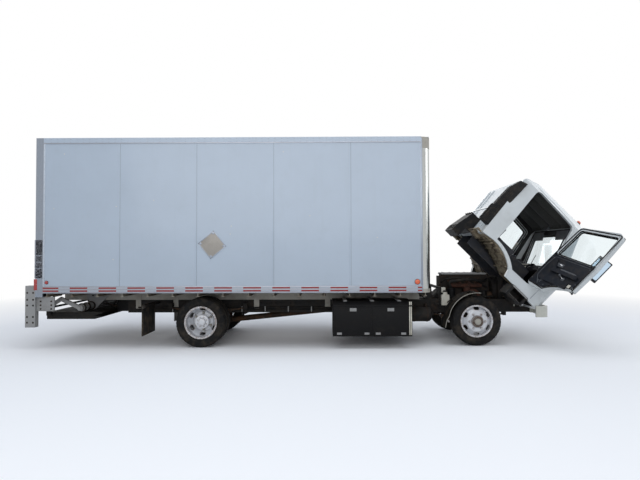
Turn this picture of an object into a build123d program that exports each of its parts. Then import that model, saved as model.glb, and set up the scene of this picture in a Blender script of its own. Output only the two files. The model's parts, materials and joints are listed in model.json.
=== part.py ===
from build123d import *
from math import cos, hypot, radians, sin
import os

os.makedirs("parts", exist_ok=True)

# Cab-over box truck parked with its cab tilted forward and its right door hanging open.
# Lengths are in millimetres. While modelling, X runs forward from the front axle, Y to the
# left from the centreline and Z up from the ground, and the cab is lowered with both doors
# shut. Each piece is moved to where it rests as it is written.

# Middle of the parked truck's footprint, which becomes the origin of the written pieces
datum_x = -2617
datum_y = -230

# Clearances
running_fit = 0.05
seat_gap = 0.3
door_gap = 5

# Axles
wheelbase = 4470
axle_z = 400
front_track_half = 825
rear_track_half = 825
kingpin_y = 700
kingpin_radius = 22
spindle_radius = 35
rear_spindle_radius = 62

# Tyres and rims
tyre_radius = 400
tyre_width = 225
bead_radius = 248
flange_radius = 260
rim_half_width = 98
rim_wall = 12
wheel_offset = 126
disc_thickness = 12
bolt_flange_radius = 160
hub_radius = 95
hand_hole_radius = 206
hand_hole_count = 6
hand_hole_length = 90
hand_hole_width = 52

# Ladder frame
rail_half_width = 425
rail_flange = 65
rail_wall = 8
rail_bottom_z = 490
rail_top_z = 710
rail_front_x = 780
rail_rear_x = -5880
horn_front_x = 1060
horn_top_z = 580
crossmember_height = 90
crossmember_depth = 70
hole_row_front_x = -2730
hole_row_pitch = 84
hole_row_count = 12
hole_row_z = 652
hole_radius = 15

# Leaf springs
leaf_eye_radius = 22
leaf_pin_radius = 12

# Cab tilt
pivot_x = 900
pivot_z = 700
cab_tilt = 45
pivot_shaft_radius = 30
pivot_eye_radius = 42
pivot_bracket_y = 380
pivot_bracket_thickness = 30

# Cab shell
cab_half_width = 1000
cab_wall = 60
cab_panel_y = 820
belt_z = 1468
nose_x = 1045
screen_base_z = 1230
screen_top_x = 640
roof_front_z = 2180
roof_rear_x = -335
roof_rear_z = 2190
rear_top_x = -602
rear_top_z = 2090
rear_low_x = -491
rear_low_z = 940
sill_z = 690
nose_bottom_z = 665
cab_floor_z = 775
cab_floor_thickness = 25
rear_floor_z = 962
tunnel_half_width = 345
tunnel_top_z = 1190
tunnel_front_x = 700
cover_corner_radius = 40
grille_half_width = 520
grille_bottom_z = 880
grille_top_z = 1130
grille_depth_x = 1020
grille_slot_count = 5
lamp_inner_y = 560
lamp_outer_y = 870
lamp_bottom_z = 700
lamp_top_z = 840
lamp_depth_x = 1005

# Doors
door_angle = 110
hinge_x = 635
hinge_y = cab_half_width + 13
hinge_height = 90
hinge_rows = (900, 1345)
hinge_pin_radius = 7
hinge_knuckle_radius = 12
trim_thickness = 22
trim_margin = 45
armrest_inner_y = 872
armrest_outer_y = 925
window_bottom_z = 1500
glass_thickness = 6

# Box body
box_front_x = -790
box_length = 6257
box_half_width = 1219
box_bottom_z = 890
box_top_z = 3350
box_wall = 25
box_corner_radius = 150
bottom_rail_height = 110
top_rail_height = 80
rail_proud = 5
floor_top_z = 970
floor_thickness = 32
bearer_height = 108
bearer_pitch = 400
rear_frame_depth = 119
rear_post_width = 105
rear_header_height = 225

# Mud flaps
flap_behind_axle = 903
flap_thickness = 12
flap_inner_y = 560
flap_outer_y = 1160
flap_bottom_z = 200
flap_top_z = 695

# Liftgate
lift_pivot_ahead = 547
dock_depth = 158
dock_bottom_z = 925
dock_top_z = 969
step_post_width = 99
step_post_bottom_z = 355
step_post_top_z = 1010
lift_pivot_z = 620
lift_arm_y = 860
lift_arm_length = 550
lift_tube_radius = 60
platform_length = 800
platform_half_width = 800
platform_bottom_z = 430

rear_axle_x = -wheelbase
box_rear_x = box_front_x - box_length
flap_x = rear_axle_x - flap_behind_axle
lift_pivot_x = box_rear_x + lift_pivot_ahead
sill_top_z = floor_top_z - floor_thickness - bearer_height
rail_web_y = rail_half_width - rail_wall

# Resting places of the pieces
chassis_place = Pos(-datum_x, -datum_y, 0)
cab_place = chassis_place * Pos(pivot_x, 0, pivot_z) * Rot(Y=cab_tilt) * Pos(-pivot_x, 0, -pivot_z)
door_right_place = cab_place * Pos(hinge_x, -hinge_y, 0) * Rot(Z=door_angle) * Pos(-hinge_x, hinge_y, 0)


def side_plane(y):
    """Side view plane at y: sketch x is X, sketch y is Z, and extruding goes to the right."""
    return Plane.XZ.offset(-y)


def block(x_span, y_span, z_span, mode=Mode.ADD):
    """Box between two values along each axis."""
    middle = [(low + high) / 2 for low, high in (x_span, y_span, z_span)]
    with Locations(tuple(middle)):
        Box(x_span[1] - x_span[0], y_span[1] - y_span[0], z_span[1] - z_span[0], mode=mode)


def outboard_plane(x, y, z, side):
    """Wheel section plane: sketch x runs outboard along the axle and sketch y runs up."""
    return Plane(origin=(x, y, z), x_dir=(0, side, 0), z_dir=(side, 0, 0))


def tyre_section(middle):
    """Tyre section about its axle: beads on the rim, bulged walls and a crowned tread."""
    half = tyre_width / 2
    bead_half = rim_half_width - 10 - seat_gap
    bead = bead_radius + seat_gap
    shoulder = tyre_radius - 14
    with BuildSketch() as section:
        with BuildLine():
            Line((middle - bead_half, bead), (middle + bead_half, bead))
            Line((middle + bead_half, bead), (middle + bead_half, flange_radius + 8))
            ThreePointArc(
                (middle + bead_half, flange_radius + 8),
                (middle + half, (flange_radius + shoulder) / 2),
                (middle + half - 14, shoulder),
            )
            Line((middle + half - 14, shoulder), (middle + half - 26, tyre_radius - 3))
            ThreePointArc(
                (middle + half - 26, tyre_radius - 3),
                (middle, tyre_radius),
                (middle - half + 26, tyre_radius - 3),
            )
            Line((middle - half + 26, tyre_radius - 3), (middle - half + 14, shoulder))
            ThreePointArc(
                (middle - half + 14, shoulder),
                (middle - half, (flange_radius + shoulder) / 2),
                (middle - bead_half, flange_radius + 8),
            )
            Line((middle - bead_half, flange_radius + 8), (middle - bead_half, bead))
        make_face()
    return section.sketch


def rim_section(middle, face):
    """Rim and disc section about the axle; face is 1 where the disc bulges outboard."""
    well = bead_radius - rim_wall
    mount = middle + face * wheel_offset
    inner_face = mount - face * disc_thickness
    with BuildSketch() as section:
        with Locations((middle, bead_radius - rim_wall / 2)):
            Rectangle(2 * rim_half_width, rim_wall)
        for end in (-1, 1):
            with Locations((middle + end * (rim_half_width - 5), (bead_radius + flange_radius) / 2)):
                Rectangle(10, flange_radius - bead_radius)
        with BuildLine():
            Line((middle + face * 30, well + 2), (middle + face * 46, well + 2))
            Line((middle + face * 46, well + 2), (mount, bolt_flange_radius))
            Line((mount, bolt_flange_radius), (mount, hub_radius - 20))
            Line((mount, hub_radius - 20), (inner_face, hub_radius - 20))
            Line((inner_face, hub_radius - 20), (inner_face, bolt_flange_radius - 6))
            Line((inner_face, bolt_flange_radius - 6), (middle + face * 30, well + 2))
        make_face()
    return section.sketch


def hand_holes(x, side):
    """Ring of oval plugs that cut the hand holes in the wheel discs at x on one side."""
    with BuildPart() as plugs:
        for turn in range(hand_hole_count):
            angle = radians(90 + turn * 360 / hand_hole_count)
            centre_x = x + hand_hole_radius * cos(angle)
            centre_z = axle_z + hand_hole_radius * sin(angle)
            tangent = (-sin(angle), 0, cos(angle))
            hole_plane = Plane(origin=(centre_x, 0, centre_z), x_dir=tangent, z_dir=(0, side, 0))
            with BuildSketch(hole_plane):
                SlotOverall(hand_hole_length, hand_hole_width)
            extrude(amount=rear_track_half + 400)
    return plugs.part


# Wheels: front rims with their hubs, twin rear rims on one hub, and the tyres
for side, name in ((-1, "right"), (1, "left")):
    front_wheel = outboard_plane(0, side * front_track_half, axle_z, side)
    front_axis = Axis((0, 0, axle_z), (0, 1, 0))
    with BuildPart() as front_rim:
        with BuildSketch(front_wheel):
            add(rim_section(0, 1))
            with Locations((wheel_offset - 50, hub_radius / 2)):
                Rectangle(150, hub_radius)
            with Locations((wheel_offset - 65, spindle_radius / 2)):
                Rectangle(120, spindle_radius + 2 * running_fit, mode=Mode.SUBTRACT)
        revolve(axis=front_axis)
        add(hand_holes(0, side), mode=Mode.SUBTRACT)
    front_rim.part.label = f"front_rim_{name}"
    export_step(front_rim.part.moved(chassis_place), f"parts/front_rim_{name}.step")

    with BuildPart() as front_tyre:
        with BuildSketch(front_wheel):
            add(tyre_section(0))
        revolve(axis=front_axis)
    front_tyre.part.label = f"front_tyre_{name}"
    export_step(front_tyre.part.moved(chassis_place), f"parts/front_tyre_{name}.step")

    rear_wheel = outboard_plane(rear_axle_x, side * rear_track_half, axle_z, side)
    rear_axis = Axis((rear_axle_x, 0, axle_z), (0, 1, 0))
    with BuildPart() as rear_rims:
        with BuildSketch(rear_wheel):
            add(rim_section(wheel_offset, -1))
            add(rim_section(-wheel_offset, 1))
            with Locations((10, 56)):
                Rectangle(220, 112)
            with Locations((0, rear_spindle_radius / 2)):
                Rectangle(200, rear_spindle_radius + 2 * running_fit, mode=Mode.SUBTRACT)
        revolve(axis=rear_axis)
        add(hand_holes(rear_axle_x, side), mode=Mode.SUBTRACT)
    rear_rims.part.label = f"rear_rims_{name}"
    export_step(rear_rims.part.moved(chassis_place), f"parts/rear_rims_{name}.step")

    with BuildPart() as rear_tyres:
        with BuildSketch(rear_wheel):
            add(tyre_section(wheel_offset))
            add(tyre_section(-wheel_offset))
        revolve(axis=rear_axis)
    rear_tyres.part.label = f"rear_tyres_{name}"
    export_step(rear_tyres.part.moved(chassis_place), f"parts/rear_tyres_{name}.step")

# Steering knuckles: a yoke round the beam's eye, kingpin, spindle and steering arm
arm_reach = 180
rod_z = axle_z - 105
yoke_half = 100
for side, name in ((-1, "right"), (1, "left")):
    with BuildPart() as knuckle:
        with Locations((0, side * kingpin_y, axle_z)):
            Cylinder(kingpin_radius, 2 * yoke_half)
        for ear_z in (axle_z - yoke_half, axle_z + yoke_half - 38):
            with BuildSketch(Plane.XY.offset(ear_z)):
                with Locations((0, side * kingpin_y)):
                    Circle(46)
                with Locations((0, side * (kingpin_y + 42))):
                    Rectangle(84, 84)
            extrude(amount=38)
        block((-42, 42), sorted((side * (kingpin_y + 56), side * (kingpin_y + 84))),
              (axle_z - yoke_half, axle_z + yoke_half))
        spindle_end = front_track_half + wheel_offset - 8
        with BuildSketch(side_plane(side * kingpin_y)):
            with Locations((0, axle_z)):
                Circle(spindle_radius)
        extrude(amount=-side * (spindle_end - kingpin_y))
        with Locations((0, side * kingpin_y, axle_z)):
            Cylinder(56, 2 * yoke_half - 76, mode=Mode.SUBTRACT)
            Cylinder(kingpin_radius, 2 * yoke_half)
        block((-arm_reach, -20), (side * kingpin_y - 17, side * kingpin_y + 17),
              (axle_z - yoke_half, axle_z - yoke_half + 30))
        with Locations((-arm_reach, side * kingpin_y, axle_z - yoke_half + 15)):
            Cylinder(26, 30)
        with Locations((-arm_reach, side * kingpin_y, rod_z)):
            Cylinder(12, 60)
    knuckle.part.label = f"knuckle_{name}"
    export_step(knuckle.part.moved(chassis_place), f"parts/knuckle_{name}.step")

# Track rod between the two steering arms' ball pins
with BuildPart() as track_rod:
    with BuildSketch(side_plane(kingpin_y - 20)):
        with Locations((-arm_reach, rod_z - 22)):
            Circle(17)
    extrude(amount=2 * (kingpin_y - 20))
    for side in (-1, 1):
        with Locations((-arm_reach, side * kingpin_y, rod_z - 22)):
            Cylinder(28, 34)
            Cylinder(12 + running_fit, 34, mode=Mode.SUBTRACT)
track_rod.part.label = "track_rod"
export_step(track_rod.part.moved(chassis_place), "parts/track_rod.step")

# Dropped front axle beam with an eye at each kingpin and a pad under each spring
spring_y = rail_half_width - rail_flange / 2
beam_top_z = axle_z - 20
beam_bottom_z = axle_z - 95
with BuildPart() as front_axle_beam:
    with BuildSketch(Plane.YZ.offset(-38)):
        Polygon(
            (-kingpin_y, axle_z + 50), (-kingpin_y, axle_z - 50), (60 - kingpin_y, axle_z - 50),
            (-540, beam_bottom_z), (540, beam_bottom_z),
            (kingpin_y - 60, axle_z - 50), (kingpin_y, axle_z - 50), (kingpin_y, axle_z + 50),
            (kingpin_y - 60, axle_z + 50), (560, beam_top_z), (-560, beam_top_z),
            (60 - kingpin_y, axle_z + 50), align=None,
        )
    extrude(amount=76)
    for face in (-1, 1):
        block(sorted((face * 12, face * 38)), (-530, 530), (beam_bottom_z + 14, beam_top_z - 14),
              mode=Mode.SUBTRACT)
    for side in (-1, 1):
        with Locations((0, side * kingpin_y, axle_z)):
            Cylinder(50, 2 * yoke_half - 80)
            Cylinder(kingpin_radius + running_fit, 2 * yoke_half, mode=Mode.SUBTRACT)
        block((-55, 55), sorted((side * (spring_y - 40), side * (spring_y + 40))),
              (beam_top_z - 12, beam_top_z))
front_axle_beam.part.label = "front_axle_beam"
export_step(front_axle_beam.part.moved(chassis_place), "parts/front_axle_beam.step")

# Rear axle: banjo housing, tubes and the spindles that carry the twin wheels
rear_spring_y = 505
spindle_reach = rear_track_half + 92
with BuildPart() as rear_axle:
    with BuildSketch(side_plane(spindle_reach)):
        with Locations((rear_axle_x, axle_z)):
            Circle(rear_spindle_radius)
    extrude(amount=2 * spindle_reach)
    with BuildSketch(side_plane(590)):
        with Locations((rear_axle_x, axle_z)):
            Circle(70)
    extrude(amount=2 * 590)
    with Locations((rear_axle_x, 0, axle_z)):
        Sphere(190)
    block((rear_axle_x, rear_axle_x + 250), (-70, 70), (axle_z - 160, axle_z - 20))
    for side in (-1, 1):
        block((rear_axle_x - 60, rear_axle_x + 60), (side * rear_spring_y - 42, side * rear_spring_y + 42),
              (axle_z + 40, axle_z + 78))
rear_axle.part.label = "rear_axle"
export_step(rear_axle.part.moved(chassis_place), "parts/rear_axle.step")

# Leaf springs: middle x, middle y, seat z, half span, sag, width, leaf count and leaf thickness
leaf_packs = (
    (0, spring_y, beam_top_z, 620, 30, 62, 4, 13),
    (rear_axle_x, rear_spring_y, axle_z + 78, 640, 34, 68, 6, 12),
)


def leaf(middle_x, base_z, half_span, sag, thickness):
    """One leaf seen from the side, its ends higher than its middle by sag."""
    with BuildSketch() as outline:
        with BuildLine():
            ThreePointArc(
                (middle_x - half_span, base_z + sag),
                (middle_x, base_z),
                (middle_x + half_span, base_z + sag),
            )
            Line((middle_x + half_span, base_z + sag), (middle_x + half_span, base_z + sag + thickness))
            ThreePointArc(
                (middle_x + half_span, base_z + sag + thickness),
                (middle_x, base_z + thickness),
                (middle_x - half_span, base_z + sag + thickness),
            )
            Line((middle_x - half_span, base_z + sag + thickness), (middle_x - half_span, base_z + sag))
        make_face()
    return outline.sketch


with BuildPart() as leaf_springs:
    for middle_x, middle_y, seat_z, half_span, sag, width, count, thickness in leaf_packs:
        eye_z = seat_z + (count - 0.5) * thickness + sag
        for side in (-1, 1):
            with BuildSketch(side_plane(side * middle_y + width / 2)):
                for row in range(count):
                    reach = 0.24 + 0.76 * row / (count - 1)
                    add(leaf(middle_x, seat_z + row * thickness, half_span * reach,
                             sag * reach ** 2, thickness))
                with Locations((middle_x - half_span, eye_z), (middle_x + half_span, eye_z)):
                    Circle(leaf_eye_radius)
                with Locations((middle_x - half_span, eye_z), (middle_x + half_span, eye_z)):
                    Circle(leaf_pin_radius + running_fit, mode=Mode.SUBTRACT)
            extrude(amount=width)
leaf_springs.part.label = "leaf_springs"
export_step(leaf_springs.part.moved(chassis_place), "parts/leaf_springs.step")

# Ladder frame: channel rails, front horns, crossmembers, tilt brackets and the cab's rear rest
crossmember_rows = (735, -1750, -2800, -3700, -5250, -5800)
with BuildPart() as ladder_frame:
    with BuildSketch(Plane.YZ.offset(rail_rear_x)):
        for side in (-1, 1):
            with Locations((side * (rail_half_width - rail_flange / 2), (rail_bottom_z + rail_top_z) / 2)):
                Rectangle(rail_flange, rail_top_z - rail_bottom_z)
            with Locations((side * (rail_web_y - rail_flange / 2), (rail_bottom_z + rail_top_z) / 2)):
                Rectangle(rail_flange, rail_top_z - rail_bottom_z - 2 * rail_wall, mode=Mode.SUBTRACT)
    extrude(amount=rail_front_x - rail_rear_x)
    with BuildSketch(side_plane(rail_half_width)):
        with Locations((hole_row_front_x - (hole_row_count - 1) * hole_row_pitch / 2, hole_row_z)):
            with GridLocations(hole_row_pitch, 1, hole_row_count, 1):
                Circle(hole_radius)
    extrude(amount=2 * rail_half_width, mode=Mode.SUBTRACT)
    for cross_x in crossmember_rows:
        block((cross_x - crossmember_depth / 2, cross_x + crossmember_depth / 2), (-rail_web_y, rail_web_y),
              (rail_top_z - rail_wall - crossmember_height, rail_top_z - rail_wall))
    for side in (-1, 1):
        inner_y = side * (rail_half_width - rail_flange)
        block((rail_front_x - 40, horn_front_x), sorted((inner_y, side * rail_half_width)),
              (rail_bottom_z, horn_top_z))
        bracket_y = side * (pivot_bracket_y + pivot_bracket_thickness / 2)
        with BuildSketch(side_plane(bracket_y + pivot_bracket_thickness / 2)):
            Polygon((pivot_x - 90, horn_top_z - 10), (pivot_x - 8, horn_top_z - 10),
                    (pivot_x - 5, pivot_z), (pivot_x - 38, pivot_z), align=None)
            with Locations((pivot_x, pivot_z)):
                Circle(pivot_eye_radius)
                Circle(pivot_shaft_radius + running_fit, mode=Mode.SUBTRACT)
        extrude(amount=pivot_bracket_thickness)
        block((-500, -460), sorted((side * 365, side * 425)), (rail_top_z, 922))
    block((-500, -460), (-425, 425), (882, 922))
    for middle_x, middle_y, seat_z, half_span, sag, width, count, thickness in leaf_packs:
        eye_z = seat_z + (count - 0.5) * thickness + sag
        cheek_half = width / 2 + 10
        hanger_top = rail_bottom_z + 1 if middle_y < rail_half_width else rail_bottom_z + 170
        for side in (-1, 1):
            for end in (-1, 1):
                eye_x = middle_x + end * half_span
                inner_y = side * (middle_y - cheek_half)
                outer_y = side * (middle_y + cheek_half)
                block((eye_x - 30, eye_x + 30), sorted((inner_y, outer_y)), (eye_z - 22, hanger_top))
                block((eye_x - 50, eye_x + 50),
                      sorted((side * (middle_y - width / 2 - seat_gap),
                              side * (middle_y + width / 2 + seat_gap))),
                      (eye_z - 60, eye_z + leaf_eye_radius + 5), mode=Mode.SUBTRACT)
                if middle_y > rail_half_width:
                    block((eye_x - 30, eye_x + 30), sorted((side * (rail_half_width - 4), outer_y)),
                          (hanger_top - 60, hanger_top))
                with BuildSketch(side_plane(side * middle_y + cheek_half)):
                    with Locations((eye_x, eye_z)):
                        Circle(leaf_pin_radius)
                extrude(amount=2 * cheek_half)
    for side in (-1, 1):
        block((flap_x + flap_thickness / 2 + seat_gap, flap_x + 46),
              sorted((side * (rail_half_width - 4), side * (flap_outer_y - 10))),
              (flap_top_z - 45, flap_top_z - 5))
ladder_frame.part.label = "ladder_frame"
export_step(ladder_frame.part.moved(chassis_place), "parts/ladder_frame.step")

# Engine with its gearbox, between the rails and under the cab's tunnel
with BuildPart() as engine:
    block((-440, 470), (-170, 170), (430, 740))
    block((-420, 450), (-130, 130), (740, 1090))
    block((-380, 410), (-95, 95), (1090, 1145))
    with BuildSketch(Plane.YZ.offset(-440)):
        with Locations((0, 600)):
            Circle(165)
    extrude(amount=-180)
    with BuildSketch(Plane.YZ.offset(-620)):
        with Locations((0, 590)):
            Rectangle(230, 250)
    with BuildSketch(Plane.YZ.offset(-1150)):
        with Locations((0, 590)):
            Rectangle(150, 170)
    loft()
engine.part.label = "engine"
export_step(engine.part.moved(chassis_place), "parts/engine.step")

# Radiator and its shroud ahead of the engine
with BuildPart() as radiator:
    block((560, 640), (-320, 320), (600, 1080))
    with BuildSketch(Plane.YZ.offset(560)):
        with Locations((0, 840)):
            Circle(235)
    extrude(amount=-70)
    block((565, 635), (-rail_web_y, rail_web_y), (575, 600))
radiator.part.label = "radiator"
export_step(radiator.part.moved(chassis_place), "parts/radiator.step")

# Two-piece propeller shaft: end x, end z and tube radius of each length
shaft_lengths = (
    (-1154, 590, -2350, 500, 45),
    (-2350, 500, rear_axle_x + 256, axle_z - 90, 50),
)
with BuildPart() as prop_shaft:
    for start_x, start_z, end_x, end_z, radius in shaft_lengths:
        run = Vector(end_x - start_x, 0, end_z - start_z)
        with BuildSketch(Plane(origin=(start_x, 0, start_z), x_dir=(0, 1, 0), z_dir=run)):
            Circle(radius)
        extrude(amount=run.length)
    with Locations((-2350, 0, 500)):
        Sphere(62)
    block((-2390, -2310), (-rail_web_y, rail_web_y), (560, 585))
    block((-2370, -2330), (-60, 60), (500, 570))
prop_shaft.part.label = "prop_shaft"
export_step(prop_shaft.part.moved(chassis_place), "parts/prop_shaft.step")

# Exhaust silencer and tail pipe outside the left rail
with BuildPart() as exhaust:
    with BuildSketch(Plane.YZ.offset(-3300)):
        with Locations((600, 560)):
            Circle(105)
    extrude(amount=850)
    with BuildSketch(Plane.YZ.offset(-2460)):
        with Locations((600, 560)):
            Circle(38)
    extrude(amount=300)
    for clamp_x in (-3100, -2650):
        block((clamp_x - 20, clamp_x + 20), (rail_half_width, 600), (550, 600))
exhaust.part.label = "exhaust"
export_step(exhaust.part.moved(chassis_place), "parts/exhaust.step")

# Fuel tank outside the left rail and steel locker outside the right one, on angle brackets
locker_front_x = -1091
locker_rear_x = -2347
with BuildPart() as fuel_tank:
    with BuildSketch(Plane.YZ.offset(-2150)):
        with Locations((790, 490)):
            RectangleRounded(520, 420, 90)
    extrude(amount=1000)
    for strap_x in (-1950, -1350):
        block((strap_x - 30, strap_x + 30), (rail_half_width, 560), (500, 690))
fuel_tank.part.label = "fuel_tank"
export_step(fuel_tank.part.moved(chassis_place), "parts/fuel_tank.step")

with BuildPart() as side_locker:
    with BuildSketch(Plane.YZ.offset(locker_rear_x)):
        Polygon((-1180, 200), (-1190, 700), (-1130, 750), (-640, 750), (-640, 260), (-700, 200), align=None)
    extrude(amount=locker_front_x - locker_rear_x)
    for strap_x in (locker_rear_x + 200, locker_front_x - 200):
        block((strap_x - 30, strap_x + 30), (-640, -rail_half_width), (520, 690))
side_locker.part.label = "side_locker"
export_step(side_locker.part.moved(chassis_place), "parts/side_locker.step")

# Front bumper: pressed channel with wrapped ends, carried on the horns
bumper_front_x = 1150
bumper_bottom_z = 472
bumper_top_z = 651
with BuildPart() as front_bumper:
    with BuildSketch(Plane.XY.offset(bumper_bottom_z)):
        with Locations(((930 + bumper_front_x) / 2, 0)):
            outer = Rectangle(bumper_front_x - 930, 2 * cab_half_width)
        fillet(outer.vertices().group_by(Axis.X)[-1], 110)
        offset(amount=-30, mode=Mode.SUBTRACT)
        with Locations((940, 0)):
            Rectangle(180, 2 * cab_half_width - 60, mode=Mode.SUBTRACT)
    extrude(amount=bumper_top_z - bumper_bottom_z)
    for side in (-1, 1):
        block((horn_front_x, bumper_front_x - 20), sorted((side * 360, side * 425)),
              (rail_bottom_z, horn_top_z))
front_bumper.part.label = "front_bumper"
export_step(front_bumper.part.moved(chassis_place), "parts/front_bumper.step")

# Long sills on the rails, under the body's bearers
with BuildPart() as body_sills:
    for side in (-1, 1):
        block((box_rear_x + 60, box_front_x - 50), sorted((side * 372, side * 425)),
              (rail_top_z, sill_top_z))
body_sills.part.label = "body_sills"
export_step(body_sills.part.moved(chassis_place), "parts/body_sills.step")

# Cargo floor: planked deck on I-section bearers
frame_front_x = box_rear_x + rear_frame_depth
curtain_front_x = frame_front_x + 28
deck_rear_x = curtain_front_x + seat_gap
deck_front_x = box_front_x - 40
bearer_count = int((deck_front_x - frame_front_x - 60) // bearer_pitch) + 1
bearer_middle_x = (deck_front_x + frame_front_x) / 2
rail_inner_y = box_half_width + rail_proud - 34
with BuildPart() as cargo_floor:
    block((deck_rear_x, deck_front_x), (-rail_inner_y, rail_inner_y),
          (floor_top_z - floor_thickness, floor_top_z))
    with BuildSketch(side_plane(rail_inner_y)):
        with Locations((bearer_middle_x, sill_top_z + bearer_height / 2)):
            with GridLocations(bearer_pitch, 1, bearer_count, 1):
                Rectangle(54, bearer_height)
        for face in (-1, 1):
            with Locations((bearer_middle_x + face * 17, sill_top_z + bearer_height / 2)):
                with GridLocations(bearer_pitch, 1, bearer_count, 1):
                    Rectangle(24, bearer_height - 18, mode=Mode.SUBTRACT)
    extrude(amount=2 * rail_inner_y)
    with BuildSketch(Plane.XY.offset(sill_top_z)):
        with Locations((bearer_middle_x, 0)):
            outer = Rectangle(deck_front_x - frame_front_x, 2 * rail_inner_y)
        fillet(outer.vertices().group_by(Axis.X)[-1], 110)
    extrude(amount=floor_top_z - sill_top_z, mode=Mode.INTERSECT)
cargo_floor.part.label = "cargo_floor"
export_step(cargo_floor.part.moved(chassis_place), "parts/cargo_floor.step")

# Side walls: skin, top rail and bottom rail in one section per side
wall_front_x = box_front_x - box_corner_radius
skin_inner_y = box_half_width - box_wall
rail_outer_y = box_half_width + rail_proud
with BuildPart() as side_walls:
    with BuildSketch(Plane.YZ.offset(frame_front_x)):
        for side in (-1, 1):
            Polygon(
                (side * rail_outer_y, box_bottom_z),
                (side * rail_outer_y, box_bottom_z + bottom_rail_height),
                (side * box_half_width, box_bottom_z + bottom_rail_height),
                (side * box_half_width, box_top_z - top_rail_height),
                (side * rail_outer_y, box_top_z - top_rail_height),
                (side * rail_outer_y, box_top_z + rail_proud),
                (side * rail_inner_y, box_top_z + rail_proud),
                (side * rail_inner_y, box_top_z - top_rail_height),
                (side * skin_inner_y, box_top_z - top_rail_height),
                (side * skin_inner_y, box_bottom_z + bottom_rail_height),
                (side * rail_inner_y, box_bottom_z + bottom_rail_height),
                (side * rail_inner_y, box_bottom_z),
                align=None,
            )
    extrude(amount=wall_front_x - frame_front_x)
side_walls.part.label = "side_walls"
export_step(side_walls.part.moved(chassis_place), "parts/side_walls.step")

# Front wall with its two rounded corners
with BuildPart() as front_wall:
    with BuildSketch(Plane.XY.offset(box_bottom_z)):
        with Locations((wall_front_x, 0)):
            outer = Rectangle(2 * box_corner_radius, 2 * box_half_width)
        fillet(outer.vertices().group_by(Axis.X)[-1], box_corner_radius)
        offset(amount=-box_wall, mode=Mode.SUBTRACT)
        with Locations((wall_front_x - box_corner_radius, 0)):
            Rectangle(2 * box_corner_radius, 3 * box_half_width, mode=Mode.SUBTRACT)
    extrude(amount=box_top_z - box_bottom_z)
front_wall.part.label = "front_wall"
export_step(front_wall.part.moved(chassis_place), "parts/front_wall.step")

# Roof sheet between the top rails, round to the front wall
with BuildPart() as box_roof:
    block((frame_front_x, wall_front_x), (-rail_inner_y, rail_inner_y), (box_top_z - 20, box_top_z))
    with BuildSketch(Plane.XY.offset(box_top_z - 20)):
        with Locations((wall_front_x, 0)):
            outer = Rectangle(2 * (box_corner_radius - box_wall), 2 * skin_inner_y)
        fillet(outer.vertices().group_by(Axis.X)[-1], box_corner_radius - box_wall)
        with Locations((wall_front_x - box_corner_radius, 0)):
            Rectangle(2 * box_corner_radius, 3 * box_half_width, mode=Mode.SUBTRACT)
    extrude(amount=20)
box_roof.part.label = "box_roof"
export_step(box_roof.part.moved(chassis_place), "parts/box_roof.step")

# Rear frame round the loading doorway
opening_half_width = rail_outer_y - rear_post_width
with BuildPart() as rear_frame:
    with BuildSketch(Plane.YZ.offset(box_rear_x)):
        with Locations((0, (sill_top_z + box_top_z + rail_proud) / 2)):
            Rectangle(2 * rail_outer_y, box_top_z + rail_proud - sill_top_z)
        with Locations((0, (floor_top_z + box_top_z - rear_header_height) / 2)):
            Rectangle(2 * opening_half_width, box_top_z - rear_header_height - floor_top_z,
                      mode=Mode.SUBTRACT)
    extrude(amount=rear_frame_depth)
    block((frame_front_x - 10, curtain_front_x), (-rail_inner_y, rail_inner_y),
          (floor_top_z - floor_thickness, floor_top_z))
rear_frame.part.label = "rear_frame"
export_step(rear_frame.part.moved(chassis_place), "parts/rear_frame.step")

# Roll-up door: panels hinged along their edges, shut behind the rear frame
door_panel_count = 7
door_panel_height = (box_top_z - 160 - floor_top_z - seat_gap) / door_panel_count
with BuildPart() as roll_door:
    block((frame_front_x + seat_gap, curtain_front_x), (-skin_inner_y + 8, skin_inner_y - 8),
          (floor_top_z + seat_gap, floor_top_z + seat_gap + door_panel_count * door_panel_height))
    for joint in range(1, door_panel_count):
        joint_z = floor_top_z + seat_gap + joint * door_panel_height
        with BuildSketch(side_plane(box_half_width)):
            Polygon((frame_front_x, joint_z - 12), (frame_front_x, joint_z + 12),
                    (frame_front_x + 14, joint_z), align=None)
        extrude(amount=2 * box_half_width, mode=Mode.SUBTRACT)
roll_door.part.label = "roll_door"
export_step(roll_door.part.moved(chassis_place), "parts/roll_door.step")

# Mud flaps behind the rear wheels, on the frame's outriggers
with BuildPart() as mud_flaps:
    for side in (-1, 1):
        block((flap_x - flap_thickness / 2, flap_x + flap_thickness / 2),
              sorted((side * flap_inner_y, side * flap_outer_y)), (flap_bottom_z, flap_top_z))
mud_flaps.part.label = "mud_flaps"
export_step(mud_flaps.part.moved(chassis_place), "parts/mud_flaps.step")

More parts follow.
